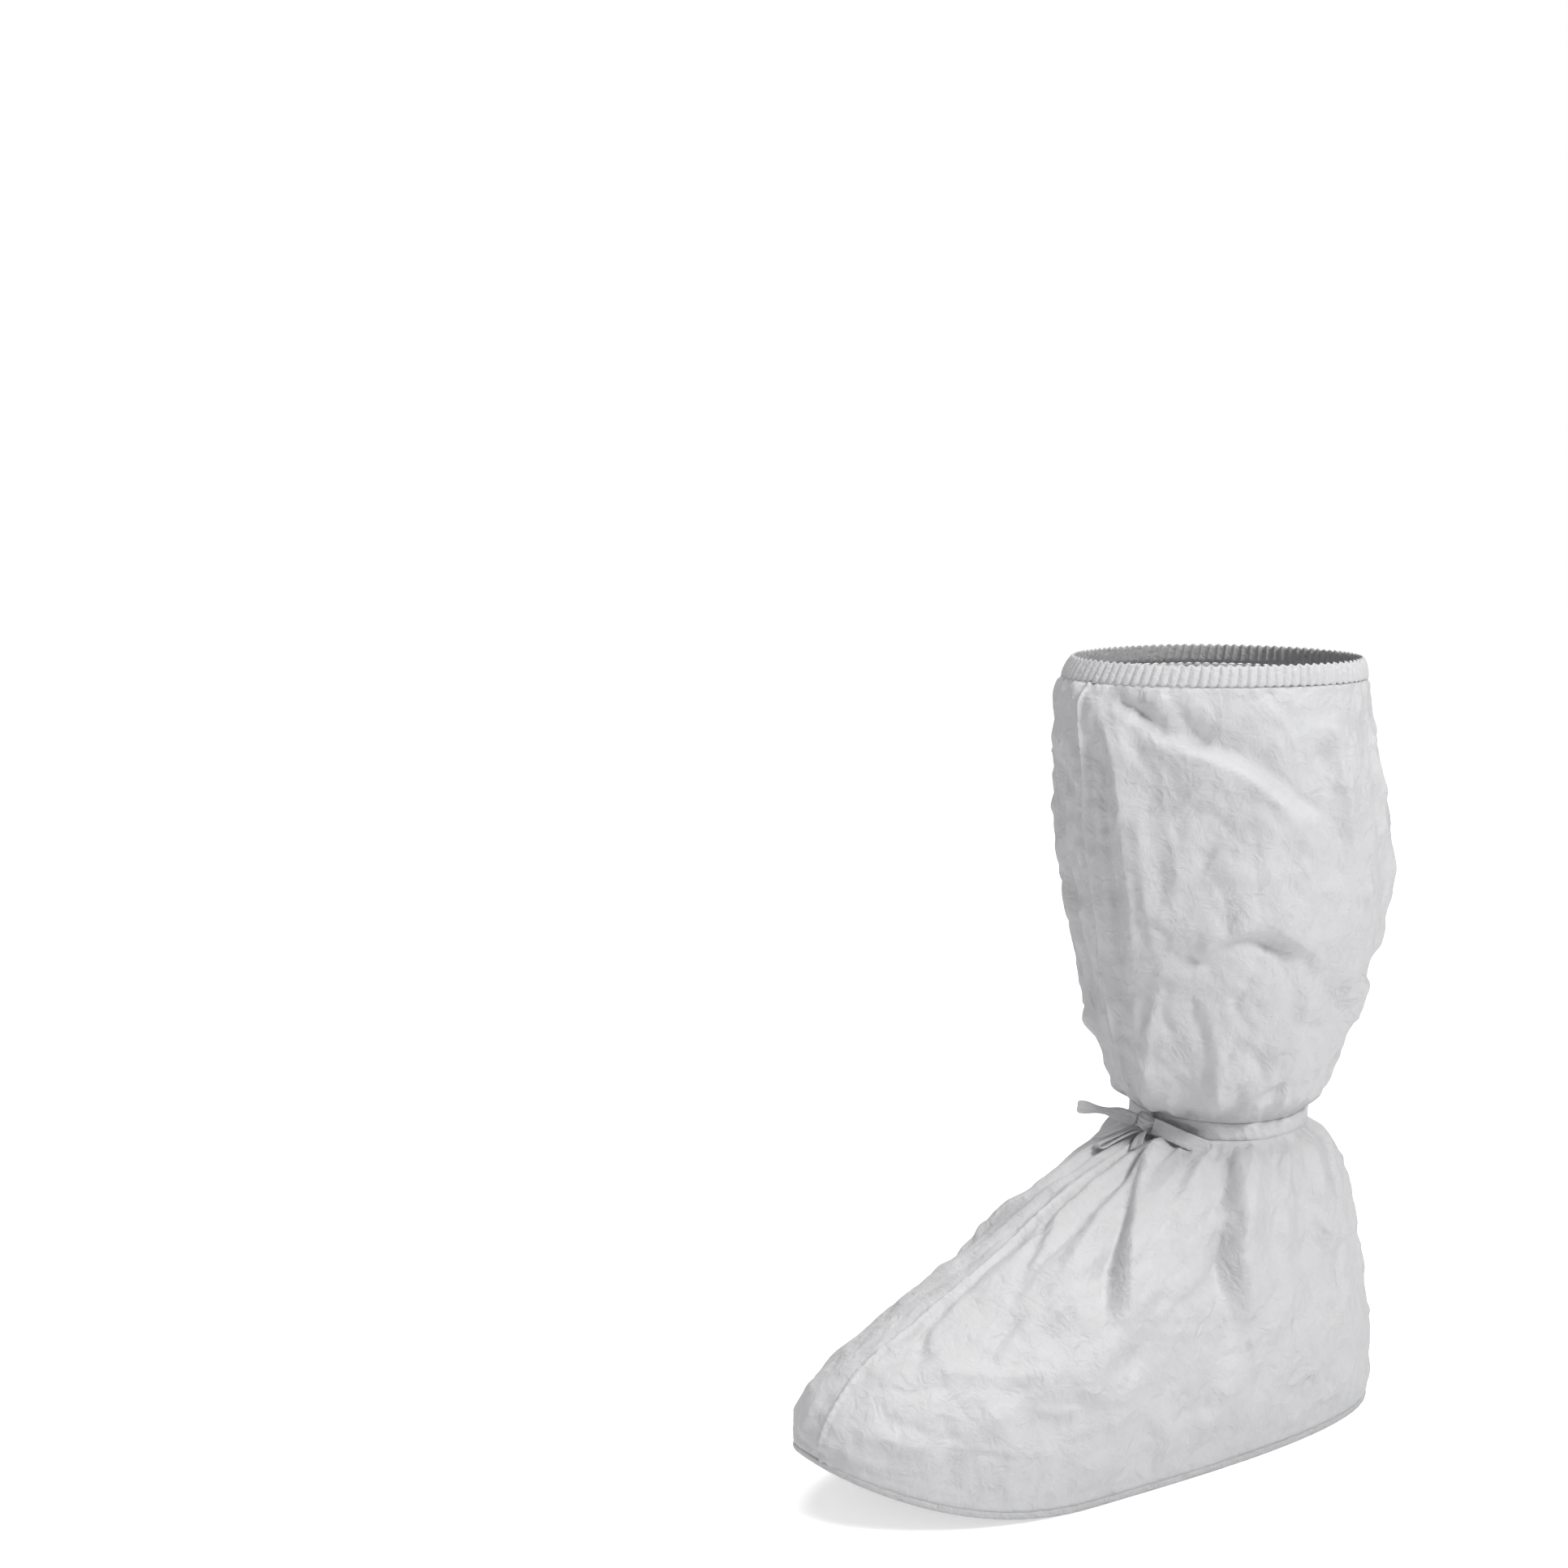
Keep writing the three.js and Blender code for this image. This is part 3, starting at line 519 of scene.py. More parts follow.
def panel_cut(side):
    """Flat size and area that a panel was cut to, all from the smooth panel and none from its folds: the
    longest line round it, the longest line up it, and its area."""
    points = smooth_panel(side)[2]
    rows, columns = (np.linalg.norm(np.diff(points, axis=k), axis=-1).sum(axis=k) for k in (1, 0))
    a, b = points[1:, 1:] - points[:-1, :-1], points[1:, :-1] - points[:-1, 1:]
    area = np.linalg.norm(np.cross(a, b), axis=-1).sum() / 2
    return (float(rows.max()), float(columns.max())), float(area)


def panel_points(side):
    """The worn panel: the bare section, moved along its normals by folds, creases, gathers and seams."""
    around, level, points, length = smooth_panel(side)
    normals = grid_normals(points, side)
    seed = 11 if side > 0 else 37
    away = np.maximum(np.maximum(BAND_LOW - level, level - BAND_HIGH), 0)[:, None]
    free = smooth_step(0, 24 * MM, away)
    top = smooth_step(0, 12 * MM, HEM - level)[:, None]
    bottom = smooth_step(0, 12 * MM, level - RIM)[:, None]
    seams = smooth_step(0, 0.03, around) * smooth_step(0, 0.03, 1 - around)
    folds = main_folds(side, points, normals)
    crushed = crumple(side, points, normals, seed + 5, 50, 3.0 * MM, 14 * MM)
    crushed += crumple(side, points, normals, seed, 150, 1.8 * MM, 6 * MM)
    crushed += crumple(side, points, normals, seed + 1, 380, 0.9 * MM, 2.4 * MM)
    crushed += facets(points, seed + 8, 26 * MM, 1.3 * MM) + facets(points, seed + 9, 11 * MM, 0.45 * MM)
    above = pleats(around, level, length, seed + 2, BAND_HIGH, 1, 8 * MM, 2.3 * MM, 26 * MM)
    below = pleats(around, level, length, seed + 3, BAND_LOW, -1, 8 * MM, 2.3 * MM, 30 * MM)
    under = pleats(around, level, length, seed + 4, HEM, -1, 9 * MM, 2.4 * MM, 12 * MM)
    near_tie = smooth_step(0, 6 * MM, away)
    height = level_out(folds + crushed * free) * near_tie * top * bottom * (0.25 + 0.75 * seams)
    height += (above + below + under) * seams
    height += front_peak(around) * smooth_step(0, 30 * MM, away) * top * bottom
    height += seam_relief(around, level, length, side)
    height += sole_seam(around, level, length)
    worn = points + normals * height[..., None]
    worn[0, :, 2] -= 1.2 * MM
    gap = np.minimum(around, 1 - around)[None] * length[:, None]
    sway = np.sin(2 * np.pi * level / (83 * MM)) + 0.6 * np.sin(2 * np.pi * level / (37 * MM) + 1)
    calm = smooth_step(0, 20 * MM, away) * top * smooth_step(0, 20 * MM, level - RIM)[:, None]
    worn[..., 0] += 0.9 * MM * sway[:, None] * calm * np.exp(-gap / (18 * MM))
    return worn


def grid_faces(rows, columns, closed=False):
    """Quads of a grid, counter-clockwise seen from outside, wrapping round when closed."""
    j, i = np.meshgrid(np.arange(rows - 1), np.arange(columns if closed else columns - 1), indexing="ij")
    k = (i + 1) % columns
    near, far = j * columns, (j + 1) * columns
    return np.stack([near + i, near + k, far + k, far + i], -1).reshape(-1, 4)


def tube_faces(rows, columns):
    """Quads of a closed profile carried round a ring, wrapping both ways."""
    around = np.arange(columns)
    ahead, last = (around + 1) % columns, (rows - 1) * columns
    closing = np.stack([last + around, last + ahead, ahead, around], -1)
    return np.concatenate([grid_faces(rows, columns, closed=True), closing])


def make_mesh(name, points, faces, smooth=True, caps=()):
    """Mesh object at the origin from an array of points and an array of quads. Each cap is a loop of
    point numbers that is closed with triangles round its middle."""
    points = points.reshape(-1, 3)
    corners = faces.tolist()
    for loop in caps:
        middle = len(points)
        points = np.concatenate([points, points[loop].mean(axis=0, keepdims=True)])
        turned = np.roll(loop, -1)
        corners += [[int(a), int(b), middle] for a, b in zip(loop, turned)]
    mesh = bpy.data.meshes.new(name)
    mesh.from_pydata(points.tolist(), [], corners)
    mesh.validate()
    mesh.polygons.foreach_set("use_smooth", np.full(len(mesh.polygons), smooth))
    mesh.update()
    piece = bpy.data.objects.new(name, mesh)
    bpy.context.scene.collection.objects.link(piece)
    return piece


def seat(piece, node, material):
    """Puts a finished piece on the frame in place of its CAD node."""
    piece.data.materials.clear()
    piece.data.materials.append(material)
    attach(piece, "root")
    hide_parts(node)


def ring_outline(level, outward, count):
    """Closed outline at one level, moved outward, evenly spaced round from the front seam."""
    shares = np.linspace(0, 1, count // 2 + 1)
    x, y, _, lean = half_outline(np.array([level]), shares)
    left = np.stack([x[0] + lean[0], y[0]], -1)
    right = np.stack([lean[0] - x[0], y[0]], -1)[1:-1][::-1]
    ring = np.concatenate([left, right])
    along = np.roll(ring, -1, axis=0) - np.roll(ring, 1, axis=0)
    along /= np.linalg.norm(along, axis=1, keepdims=True)
    out = np.stack([along[:, 1], -along[:, 0]], -1)
    return ring + out * np.reshape(outward, (-1, 1))


def node_math(tree, operation, a, b=None):
    """Math node with two inputs, each a number or a socket."""
    node = tree.nodes.new("ShaderNodeMath")
    node.operation = operation
    for slot_index, value in enumerate((a, b)):
        if value is None:
            continue
        if isinstance(value, (int, float)):
            node.inputs[slot_index].default_value = value
        else:
            tree.links.new(value, node.inputs[slot_index])
    return node.outputs[0]


def node_vector(tree, operation, a, b):
    """Vector math node with two inputs, each a triple or a socket."""
    node = tree.nodes.new("ShaderNodeVectorMath")
    node.operation = operation
    for slot_index, value in enumerate((a, b)):
        if isinstance(value, tuple):
            node.inputs[slot_index].default_value = value
        else:
            tree.links.new(value, node.inputs[slot_index])
    return node.outputs["Vector"]


def fibre_web_group():
    """Shader group: the mottled web of fine swirled fibres of spun-bonded cloth. It puts out a tint
    factor, the height of the web, the height of crushed cells, and the lean of flat facets."""
    group = bpy.data.node_groups.new("Fibre Web", "ShaderNodeTree")
    group.interface.new_socket("Scale", in_out="INPUT", socket_type="NodeSocketFloat")
    group.interface.new_socket("Tint", in_out="OUTPUT", socket_type="NodeSocketFloat")
    group.interface.new_socket("Height", in_out="OUTPUT", socket_type="NodeSocketFloat")
    group.interface.new_socket("Crush", in_out="OUTPUT", socket_type="NodeSocketFloat")
    group.interface.new_socket("Facets", in_out="OUTPUT", socket_type="NodeSocketVector")
    nodes, links = group.nodes, group.links
    inputs, outputs = nodes.new("NodeGroupInput"), nodes.new("NodeGroupOutput")
    place = nodes.new("ShaderNodeTexCoord")
    swirl = nodes.new("ShaderNodeTexNoise")
    swirl.inputs["Detail"].default_value = 3.0
    swirl.inputs["Distortion"].default_value = 2.5
    web = nodes.new("ShaderNodeTexNoise")
    web.inputs["Detail"].default_value = 6.0
    web.inputs["Roughness"].default_value = 0.7
    cells = nodes.new("ShaderNodeTexVoronoi")
    cells.feature = "DISTANCE_TO_EDGE"
    for texture, factor in ((swirl, 0.25), (web, 1.0), (cells, 0.6)):
        links.new(place.outputs["Object"], texture.inputs["Vector"])
        links.new(node_math(group, "MULTIPLY", inputs.outputs["Scale"], factor), texture.inputs["Scale"])
    lines = node_math(group, "SUBTRACT", 1.0, node_math(group, "MINIMUM", node_math(
        group, "MULTIPLY", cells.outputs["Distance"], 6.0), 1.0))
    creases = nodes.new("ShaderNodeTexNoise")
    creases.inputs["Detail"].default_value = 4.0
    creases.inputs["Distortion"].default_value = 0.6
    links.new(place.outputs["Object"], creases.inputs["Vector"])
    links.new(node_math(group, "MULTIPLY", inputs.outputs["Scale"], 0.45), creases.inputs["Scale"])
    swing = node_math(group, "ABSOLUTE", node_math(group, "SUBTRACT", creases.outputs["Fac"], 0.5))
    ridges = node_math(group, "SUBTRACT", 1.0, node_math(group, "MULTIPLY", swing, 5.0))
    mix = node_math(group, "ADD", node_math(group, "MULTIPLY", swirl.outputs["Fac"], 0.6),
                    node_math(group, "MULTIPLY", web.outputs["Fac"], 0.4))
    links.new(mix, outputs.inputs["Tint"])
    lean = None
    for factor, share in ((0.13, 0.17), (0.34, 0.1)):
        cells = nodes.new("ShaderNodeTexVoronoi")
        links.new(place.outputs["Object"], cells.inputs["Vector"])
        links.new(node_math(group, "MULTIPLY", inputs.outputs["Scale"], factor), cells.inputs["Scale"])
        part = node_vector(group, "SUBTRACT", cells.outputs["Color"], (0.5, 0.5, 0.5))
        part = node_vector(group, "MULTIPLY", part, (share, share, share))
        lean = part if lean is None else node_vector(group, "ADD", lean, part)
    links.new(lean, outputs.inputs["Facets"])
    total = None
    for factor, share in ((0.16, 0.6), (0.42, 0.25)):
        crush = nodes.new("ShaderNodeTexVoronoi")
        crush.feature = "F1"
        links.new(place.outputs["Object"], crush.inputs["Vector"])
        links.new(node_math(group, "MULTIPLY", inputs.outputs["Scale"], factor), crush.inputs["Scale"])
        part = node_math(group, "MULTIPLY", crush.outputs["Distance"], share)
        total = part if total is None else node_math(group, "ADD", total, part)
    links.new(total, outputs.inputs["Crush"])
    fine = node_math(group, "ADD", mix, node_math(group, "MULTIPLY", lines, 0.12))
    height = node_math(group, "ADD", fine, node_math(group, "MULTIPLY", ridges, 1.6))
    links.new(height, outputs.inputs["Height"])
    return group


def cloth_material(name, dark, light, roughness, scale, bump, crush, web):
    """Matt cloth whose colour varies with the fibre web. Its normal leans from facet to facet, and the
    crushed cells and then the web's height are bumps on top."""
    material = bpy.data.materials.new(name)
    material.use_nodes = True
    tree = material.node_tree
    nodes, links = tree.nodes, tree.links
    shader = nodes["Principled BSDF"]
    fibres = nodes.new("ShaderNodeGroup")
    fibres.node_tree = web
    fibres.inputs["Scale"].default_value = scale
    ramp = nodes.new("ShaderNodeValToRGB")
    ramp.color_ramp.elements[0].position = 0.3
    ramp.color_ramp.elements[0].color = (*dark, 1)
    ramp.color_ramp.elements[1].position = 0.7
    ramp.color_ramp.elements[1].color = (*light, 1)
    links.new(fibres.outputs["Tint"], ramp.inputs["Fac"])
    links.new(ramp.outputs["Color"], shader.inputs["Base Color"])
    relief = nodes.new("ShaderNodeBump")
    relief.inputs["Strength"].default_value = bump
    relief.inputs["Distance"].default_value = 0.8 * MM
    links.new(fibres.outputs["Height"], relief.inputs["Height"])
    creases = nodes.new("ShaderNodeBump")
    creases.inputs["Strength"].default_value = crush
    creases.inputs["Distance"].default_value = 3 * MM
    links.new(fibres.outputs["Crush"], creases.inputs["Height"])
    surface = nodes.new("ShaderNodeNewGeometry")
    leaned = node_vector(tree, "ADD", surface.outputs["Normal"], node_vector(
        tree, "MULTIPLY", fibres.outputs["Facets"], (crush, crush, crush)))
    links.new(node_vector(tree, "NORMALIZE", leaned, (0, 0, 0)), creases.inputs["Normal"])
    links.new(creases.outputs["Normal"], relief.inputs["Normal"])
    links.new(relief.outputs["Normal"], shader.inputs["Normal"])
    shader.inputs["Roughness"].default_value = roughness
    shader.inputs["Specular IOR Level"].default_value = 0.35
    shader.inputs["Sheen Weight"].default_value = 0.12
    shader.inputs["Sheen Roughness"].default_value = 0.5
    return material


def shared_material(name):
    """The finished material of that name, made once from the settings."""
    if name in bpy.data.materials:
        return bpy.data.materials[name]
    look = bpy.context.scene.boot_cover_look
    web = bpy.data.node_groups.get("Fibre Web") or fibre_web_group()
    light = tuple(look.cloth_colour)
    dark = tuple(c * look.mottle for c in light)
    if name == "panel cloth":
        return cloth_material(name, dark, light, look.roughness, 260.0, look.crinkle, look.crush, web)
    if name == "sole cloth":
        sole = tuple(c * 0.93 for c in light)
        return cloth_material(name, tuple(c * 0.9 for c in sole), sole, 0.7, 420.0, 0.5, 0.2, web)
    # The tie tape is a lighter copy of the cloth: its 1.03 tone is painted light that lifts the shade on the
    # bow's loops and knot.
    painted_lift = 1.03 if name == "tie tape" else 1.0
    dark, light = (tuple(c * painted_lift for c in shade) for shade in (dark, light))
    return cloth_material(name, dark, light, look.roughness, 520.0, 0.3, 0.1, web)


class BootCoverSizes(bpy.types.PropertyGroup):
    """Sizes of the dressed pieces."""

    wall: bpy.props.FloatProperty(
        name="Cloth wall", description="Thickness of the panels' cloth", default=WALL, unit="LENGTH")
    ruffle_pitch: bpy.props.FloatProperty(
        name="Ruffle pitch", description="Spacing of the casing's ruffles", default=4.6 * MM, unit="LENGTH")
    ruffle_depth: bpy.props.FloatProperty(
        name="Ruffle depth", description="Depth of the casing's ruffles", default=1.7 * MM, unit="LENGTH")
    tape_width: bpy.props.FloatProperty(
        name="Tape width", description="Width of the tie tape", default=8 * MM, unit="LENGTH")


class BootCoverLook(bpy.types.PropertyGroup):
    """Finish of the cloth."""

    cloth_colour: bpy.props.FloatVectorProperty(
        name="Cloth colour", description="Colour of the white cloth", subtype="COLOR", size=3,
        min=0.0, max=1.0, default=(0.64, 0.64, 0.645))
    mottle: bpy.props.FloatProperty(
        name="Mottle", description="Darkest part of the fibre web, as a share", default=0.955,
        min=0.0, max=1.0, subtype="FACTOR")
    roughness: bpy.props.FloatProperty(
        name="Roughness", description="Roughness of the cloth", default=0.6,
        min=0.0, max=1.0, subtype="FACTOR")
    crinkle: bpy.props.FloatProperty(
        name="Crinkle", description="Strength of the fine bump", default=0.34,
        min=0.0, max=1.0, subtype="FACTOR")
    crush: bpy.props.FloatProperty(
        name="Crush", description="Strength of the crushed bump", default=0.85,
        min=0.0, max=1.0, subtype="FACTOR")


class BOOTCOVER_OT_panels(bpy.types.Operator):
    """Make the two cloth panels with their folds, gathers and seams"""

    bl_idname = "boot_cover.panels"
    bl_label = "Cloth Panels"

    def execute(self, context):
        sizes = context.scene.boot_cover_sizes
        for side, node in ((1, "left_panel"), (-1, "right_panel")):
            points = panel_points(side)
            faces = grid_faces(*points.shape[:2])
            if side < 0:
                faces = faces[:, ::-1]
            piece = make_mesh(f"{node}_cloth", points, faces)
            wall = piece.modifiers.new("Cloth wall", "SOLIDIFY")
            wall.thickness = sizes.wall
            wall.offset = -1.0
            seat(piece, node, shared_material("panel cloth"))
            flat, area = panel_cut(side)
        return {"FINISHED"}


class BOOTCOVER_OT_sole(bpy.types.Operator):
    """Make the sole with its turned-up edge and seam"""

    bl_idname = "boot_cover.sole"
    bl_label = "Sole"

    def execute(self, context):
        count = 720
        level = RIM + SEAM_GAP
        outline = ring_outline(level, 0.0, count)
        middle = np.array([0.0, (outline[:, 1].max() + outline[:, 1].min()) / 2])
        turn = np.arange(count) / count
        ruck = 1 + 0.0006 * np.sin(2 * np.pi * turn * 96) * (1 + np.sin(2 * np.pi * turn * 7))
        rows = []
        for share, height in SOLE_PROFILE:
            wide = share * (ruck if share > 0.9 else np.ones(count))
            flat = middle + (outline - middle) * wide[:, None]
            z = SOLE_BOTTOM + height * MM + spring_at(level, -flat[:, 1])
            rows.append(np.column_stack([flat, z]))
        points = np.array(rows)
        faces = grid_faces(len(rows), count, closed=True)
        first = np.arange(count)[::-1]
        last = (len(rows) - 1) * count + np.arange(count)
        piece = make_mesh("sole_cloth", points, faces, caps=(first, last))
        seat(piece, "sole", shared_material("sole cloth"))
        return {"FINISHED"}


class BOOTCOVER_OT_casing(bpy.types.Operator):
    """Make the ruffled hem over the elastic"""

    bl_idname = "boot_cover.casing"
    bl_label = "Elastic Casing"

    def execute(self, context):
        sizes = context.scene.boot_cover_sizes
        count = 1500
        middle = (HEM + TOP) / 2
        outline = ring_outline(middle, 0.0, count)
        girth = np.linalg.norm(np.roll(outline, -1, axis=0) - outline, axis=1).sum()
        ruffles = int(round(girth / sizes.ruffle_pitch))
        rng = np.random.default_rng(5)
        turn = np.arange(count) / count
        warp = sum(rng.uniform(-1, 1) * np.sin(2 * np.pi * k * turn + rng.uniform(0, 6.28)) / k
                   for k in (2, 3, 5, 9, 17, 29)) * 0.004
        phase = 2 * np.pi * ruffles * (turn + warp)
        crest = np.abs(np.sin(phase / 2)) ** 0.8
        strength = 0.75 + 0.25 * np.sin(2 * np.pi * 13 * turn + 1.0) * np.sin(2 * np.pi * 31 * turn)
        rows = []
        for share, out, wave in CASING_PROFILE:
            level = HEM + share * (TOP - HEM)
            lift = out * 0.6 * MM + wave * sizes.ruffle_depth * (crest - 0.5) * strength
            flat = ring_outline(level, lift, count)
            droop = 0.45 * MM * np.cos(phase) * (1 if share > 0.5 else 0.6) * (0.2 < abs(share - 0.5))
            rows.append(np.column_stack([flat, np.full(count, level) + droop]))
        piece = make_mesh("top_casing_hem", np.array(rows), tube_faces(len(rows), count))
        seat(piece, "top_casing", shared_material("casing cloth"))
        return {"FINISHED"}


def tape_points(centre, across, width, thickness, curl, lengthwise):
    """Grid round a flat tape: its rounded section carried along a centre line, with the width along the
    given directions, a cupping curl and faint lengthwise pleats."""
    tangent = np.gradient(centre, axis=0)
    tangent /= np.linalg.norm(tangent, axis=1, keepdims=True)
    thick = np.cross(tangent, across)
    thick /= np.linalg.norm(thick, axis=1, keepdims=True)
    wide = np.cross(thick, tangent)
    steps = np.linspace(-1, 1, 15)
    top = np.stack([steps, np.full(15, 0.5)], -1)
    bottom = np.stack([steps[::-1], np.full(15, -0.5)], -1)
    section = np.concatenate([top, bottom])
    round_edge = np.sqrt(np.clip(1 - section[:, 0] ** 8, 0, 1))
    w = section[None, :, 0, None] * (width[:, None, None] / 2)
    pleat = lengthwise * np.sin(section[:, 0] * 8.0) + curl * (section[:, 0] ** 2 - 0.4)
    t = section[None, :, 1, None] * thickness * (0.3 + 0.7 * round_edge)[None, :, None] + pleat[None, :, None]
    return centre[:, None] + w * wide[:, None] + t * thick[:, None]


def smooth_line(points, count):
    """Even samples of a Catmull-Rom curve through the points."""
    p = np.asarray(points, float)
    ends = np.concatenate([[2 * p[0] - p[1]], p, [2 * p[-1] - p[-2]]])
    t = np.linspace(0, len(p) - 1 - 1e-9, count)
    k = t.astype(int)
    s = (t - k)[:, None]
    a, b, c, d = ends[k], ends[k + 1], ends[k + 2], ends[k + 3]
    square, cube = 2 * a - 5 * b + 4 * c - d, 3 * b - a - 3 * c + d
    return 0.5 * (2 * b + (c - a) * s + square * s ** 2 + cube * s ** 3)


KNOT = (np.array(KNOT_LOW) + np.array(KNOT_HIGH)) / 2
TAPE_THICKNESS = 0.55 * MM

# Tapes of the bow, as points in millimetres from the knot's centre, with the direction of the width
# at the start and at the end
TAPE_COLUMNS = ("name", "line", "across_start", "across_end", "loop", "narrow", "neck")
TAPES = (
    ("side_loop", ((-2.4, -4.4, 1.4), (-7, -11.8, 4.4), (-12, -19.8, 6.6), (-16.9, -26.2, 7.9),
                   (-19.6, -28.4, 7.6), (-18.1, -25.2, 7.3), (-13.9, -18.2, 5.8), (-8.9, -10.2, 3.6),
                   (-3.6, -3.4, 0.4)),
     (0.18, 0.28, 0.9), (0.18, 0.28, 0.9), True, 0.8, 0.55),
    ("hanging_loop", ((-2.5, -3.5, -2.5), (-5, -10, -5), (-7, -17, -7.5), (-8.5, -22.5, -9.6),
                      (-8.8, -24, -11), (-8, -22, -11.6), (-5.5, -15, -8), (-2.6, -8, -4.8), (-0.8, -4, -4)),
     (0.9, -0.3, 0.25), (0.9, -0.3, 0.25), True, 0.55, 0.0),
    ("flat_end", ((6.4, -0.8, -0.6), (12, 0, -1), (19, 1.5, -2.2), (27, 5, -4.6), (36, 10.5, -7.5)),
     (0.0, 0.3, 0.75), (0.0, 0.4, 0.89), False, 1.05, 0.0),
    ("short_end", ((2.6, -3.6, -3.6), (5, -7.6, -5), (7, -11, -6.6), (9.6, -14.4, -8.6)),
     (0.6, 0.3, 0.4), (0.7, 0.25, 0.45), False, 0.8, 0.0),
)


class BOOTCOVER_OT_tie(bpy.types.Operator):
    """Make the tape round the ankle, its knot, loops and ends"""

    bl_idname = "boot_cover.tie"
    bl_label = "Ankle Tie"

    def execute(self, context):
        self.make_band()
        self.make_knot()
        for tape in table(TAPE_COLUMNS, TAPES):
            self.make_tape(tape, context.scene.boot_cover_sizes.tape_width)
        return {"FINISHED"}

    def make_band(self):
        """Ring of tape, whose section bulges and is wrinkled by the gathers beneath."""
        count = 900
        turn = np.arange(count) / count
        rows = []
        for share, out in BAND_PROFILE:
            level = BAND_LOW + share * (BAND_HIGH - BAND_LOW)
            wrinkle = 0.28 * MM * np.sin(2 * np.pi * 41 * turn + 3 * np.sin(2 * np.pi * 5 * turn) + 4 * share)
            wave = 0.35 * MM * np.sin(2 * np.pi * 9 * turn + 2) * (share - 0.5)
            lift = out * MM + wrinkle * (out > 0.55)
            flat = ring_outline(level, lift, count)
            rows.append(np.column_stack([flat, level + wave]))
        piece = make_mesh("ankle_tie_tape", np.array(rows), tube_faces(len(rows), count))
        seat(piece, "ankle_tie", shared_material("tie tape"))

    def make_knot(self):
        """Lump with two crossing wraps: a squared ball whose radius swells along two bands."""
        rows, columns = 60, 90
        v = np.linspace(0.02, np.pi - 0.02, rows)[:, None]
        u = np.linspace(0, 2 * np.pi, columns, endpoint=False)[None]
        d = np.stack([np.sin(v) * np.cos(u), np.sin(v) * np.sin(u), np.cos(v) * np.ones_like(u)], -1)
        half = (np.array(KNOT_HIGH) - np.array(KNOT_LOW)) / 2
        over = np.exp(-((d[..., 0] * 0.9 + d[..., 2] * 0.5) / 0.33) ** 2)
        under = np.exp(-((d[..., 2] * 0.8 - d[..., 0] * 0.35) / 0.3) ** 2)
        pleat = 0.05 * np.sin(14 * d[..., 2] + 5 * d[..., 0])
        radius = 0.9 + 0.16 * np.maximum(over, 0.8 * under) + pleat
        points = KNOT + d * radius[..., None] * half
        faces = grid_faces(rows, columns, closed=True)[:, ::-1]
        around = np.arange(columns)
        caps = (around, (rows - 1) * columns + around[::-1])
        piece = make_mesh("tie_knot_tape", points, faces, caps=caps)
        seat(piece, "tie_knot", shared_material("tie tape"))

    def make_tape(self, tape, full_width):
        """One loop or end of the bow."""
        count = 90
        centre = KNOT + smooth_line(np.array(tape["line"]) * MM, count)
        share = np.linspace(0, 1, count)
        across = np.outer(1 - share, tape["across_start"]) + np.outer(share, tape["across_end"])
        inner = np.minimum(share, 1 - share) * 2 if tape["loop"] else share
        width = full_width * (tape["narrow"] + (1 - tape["narrow"]) * smooth_step(0, 0.45, inner))
        width *= 1 - tape["neck"] * (smooth_step(0.2, 0.45, inner) - 0.65 * smooth_step(0.5, 0.75, inner))
        if tape["loop"]:
            width *= np.sqrt(1 - 0.75 * np.clip((inner - 0.86) / 0.14, 0, 1) ** 2)
        points = tape_points(centre, across, width, TAPE_THICKNESS, 0.5 * MM, 0.1 * MM)
        faces = grid_faces(count, points.shape[1], closed=True)[:, ::-1]
        around = np.arange(points.shape[1])
        caps = (around, (count - 1) * len(around) + around[::-1])
        piece = make_mesh(f"{tape['name']}_tape", points, faces, caps=caps)
        seat(piece, tape["name"], shared_material("tie tape"))


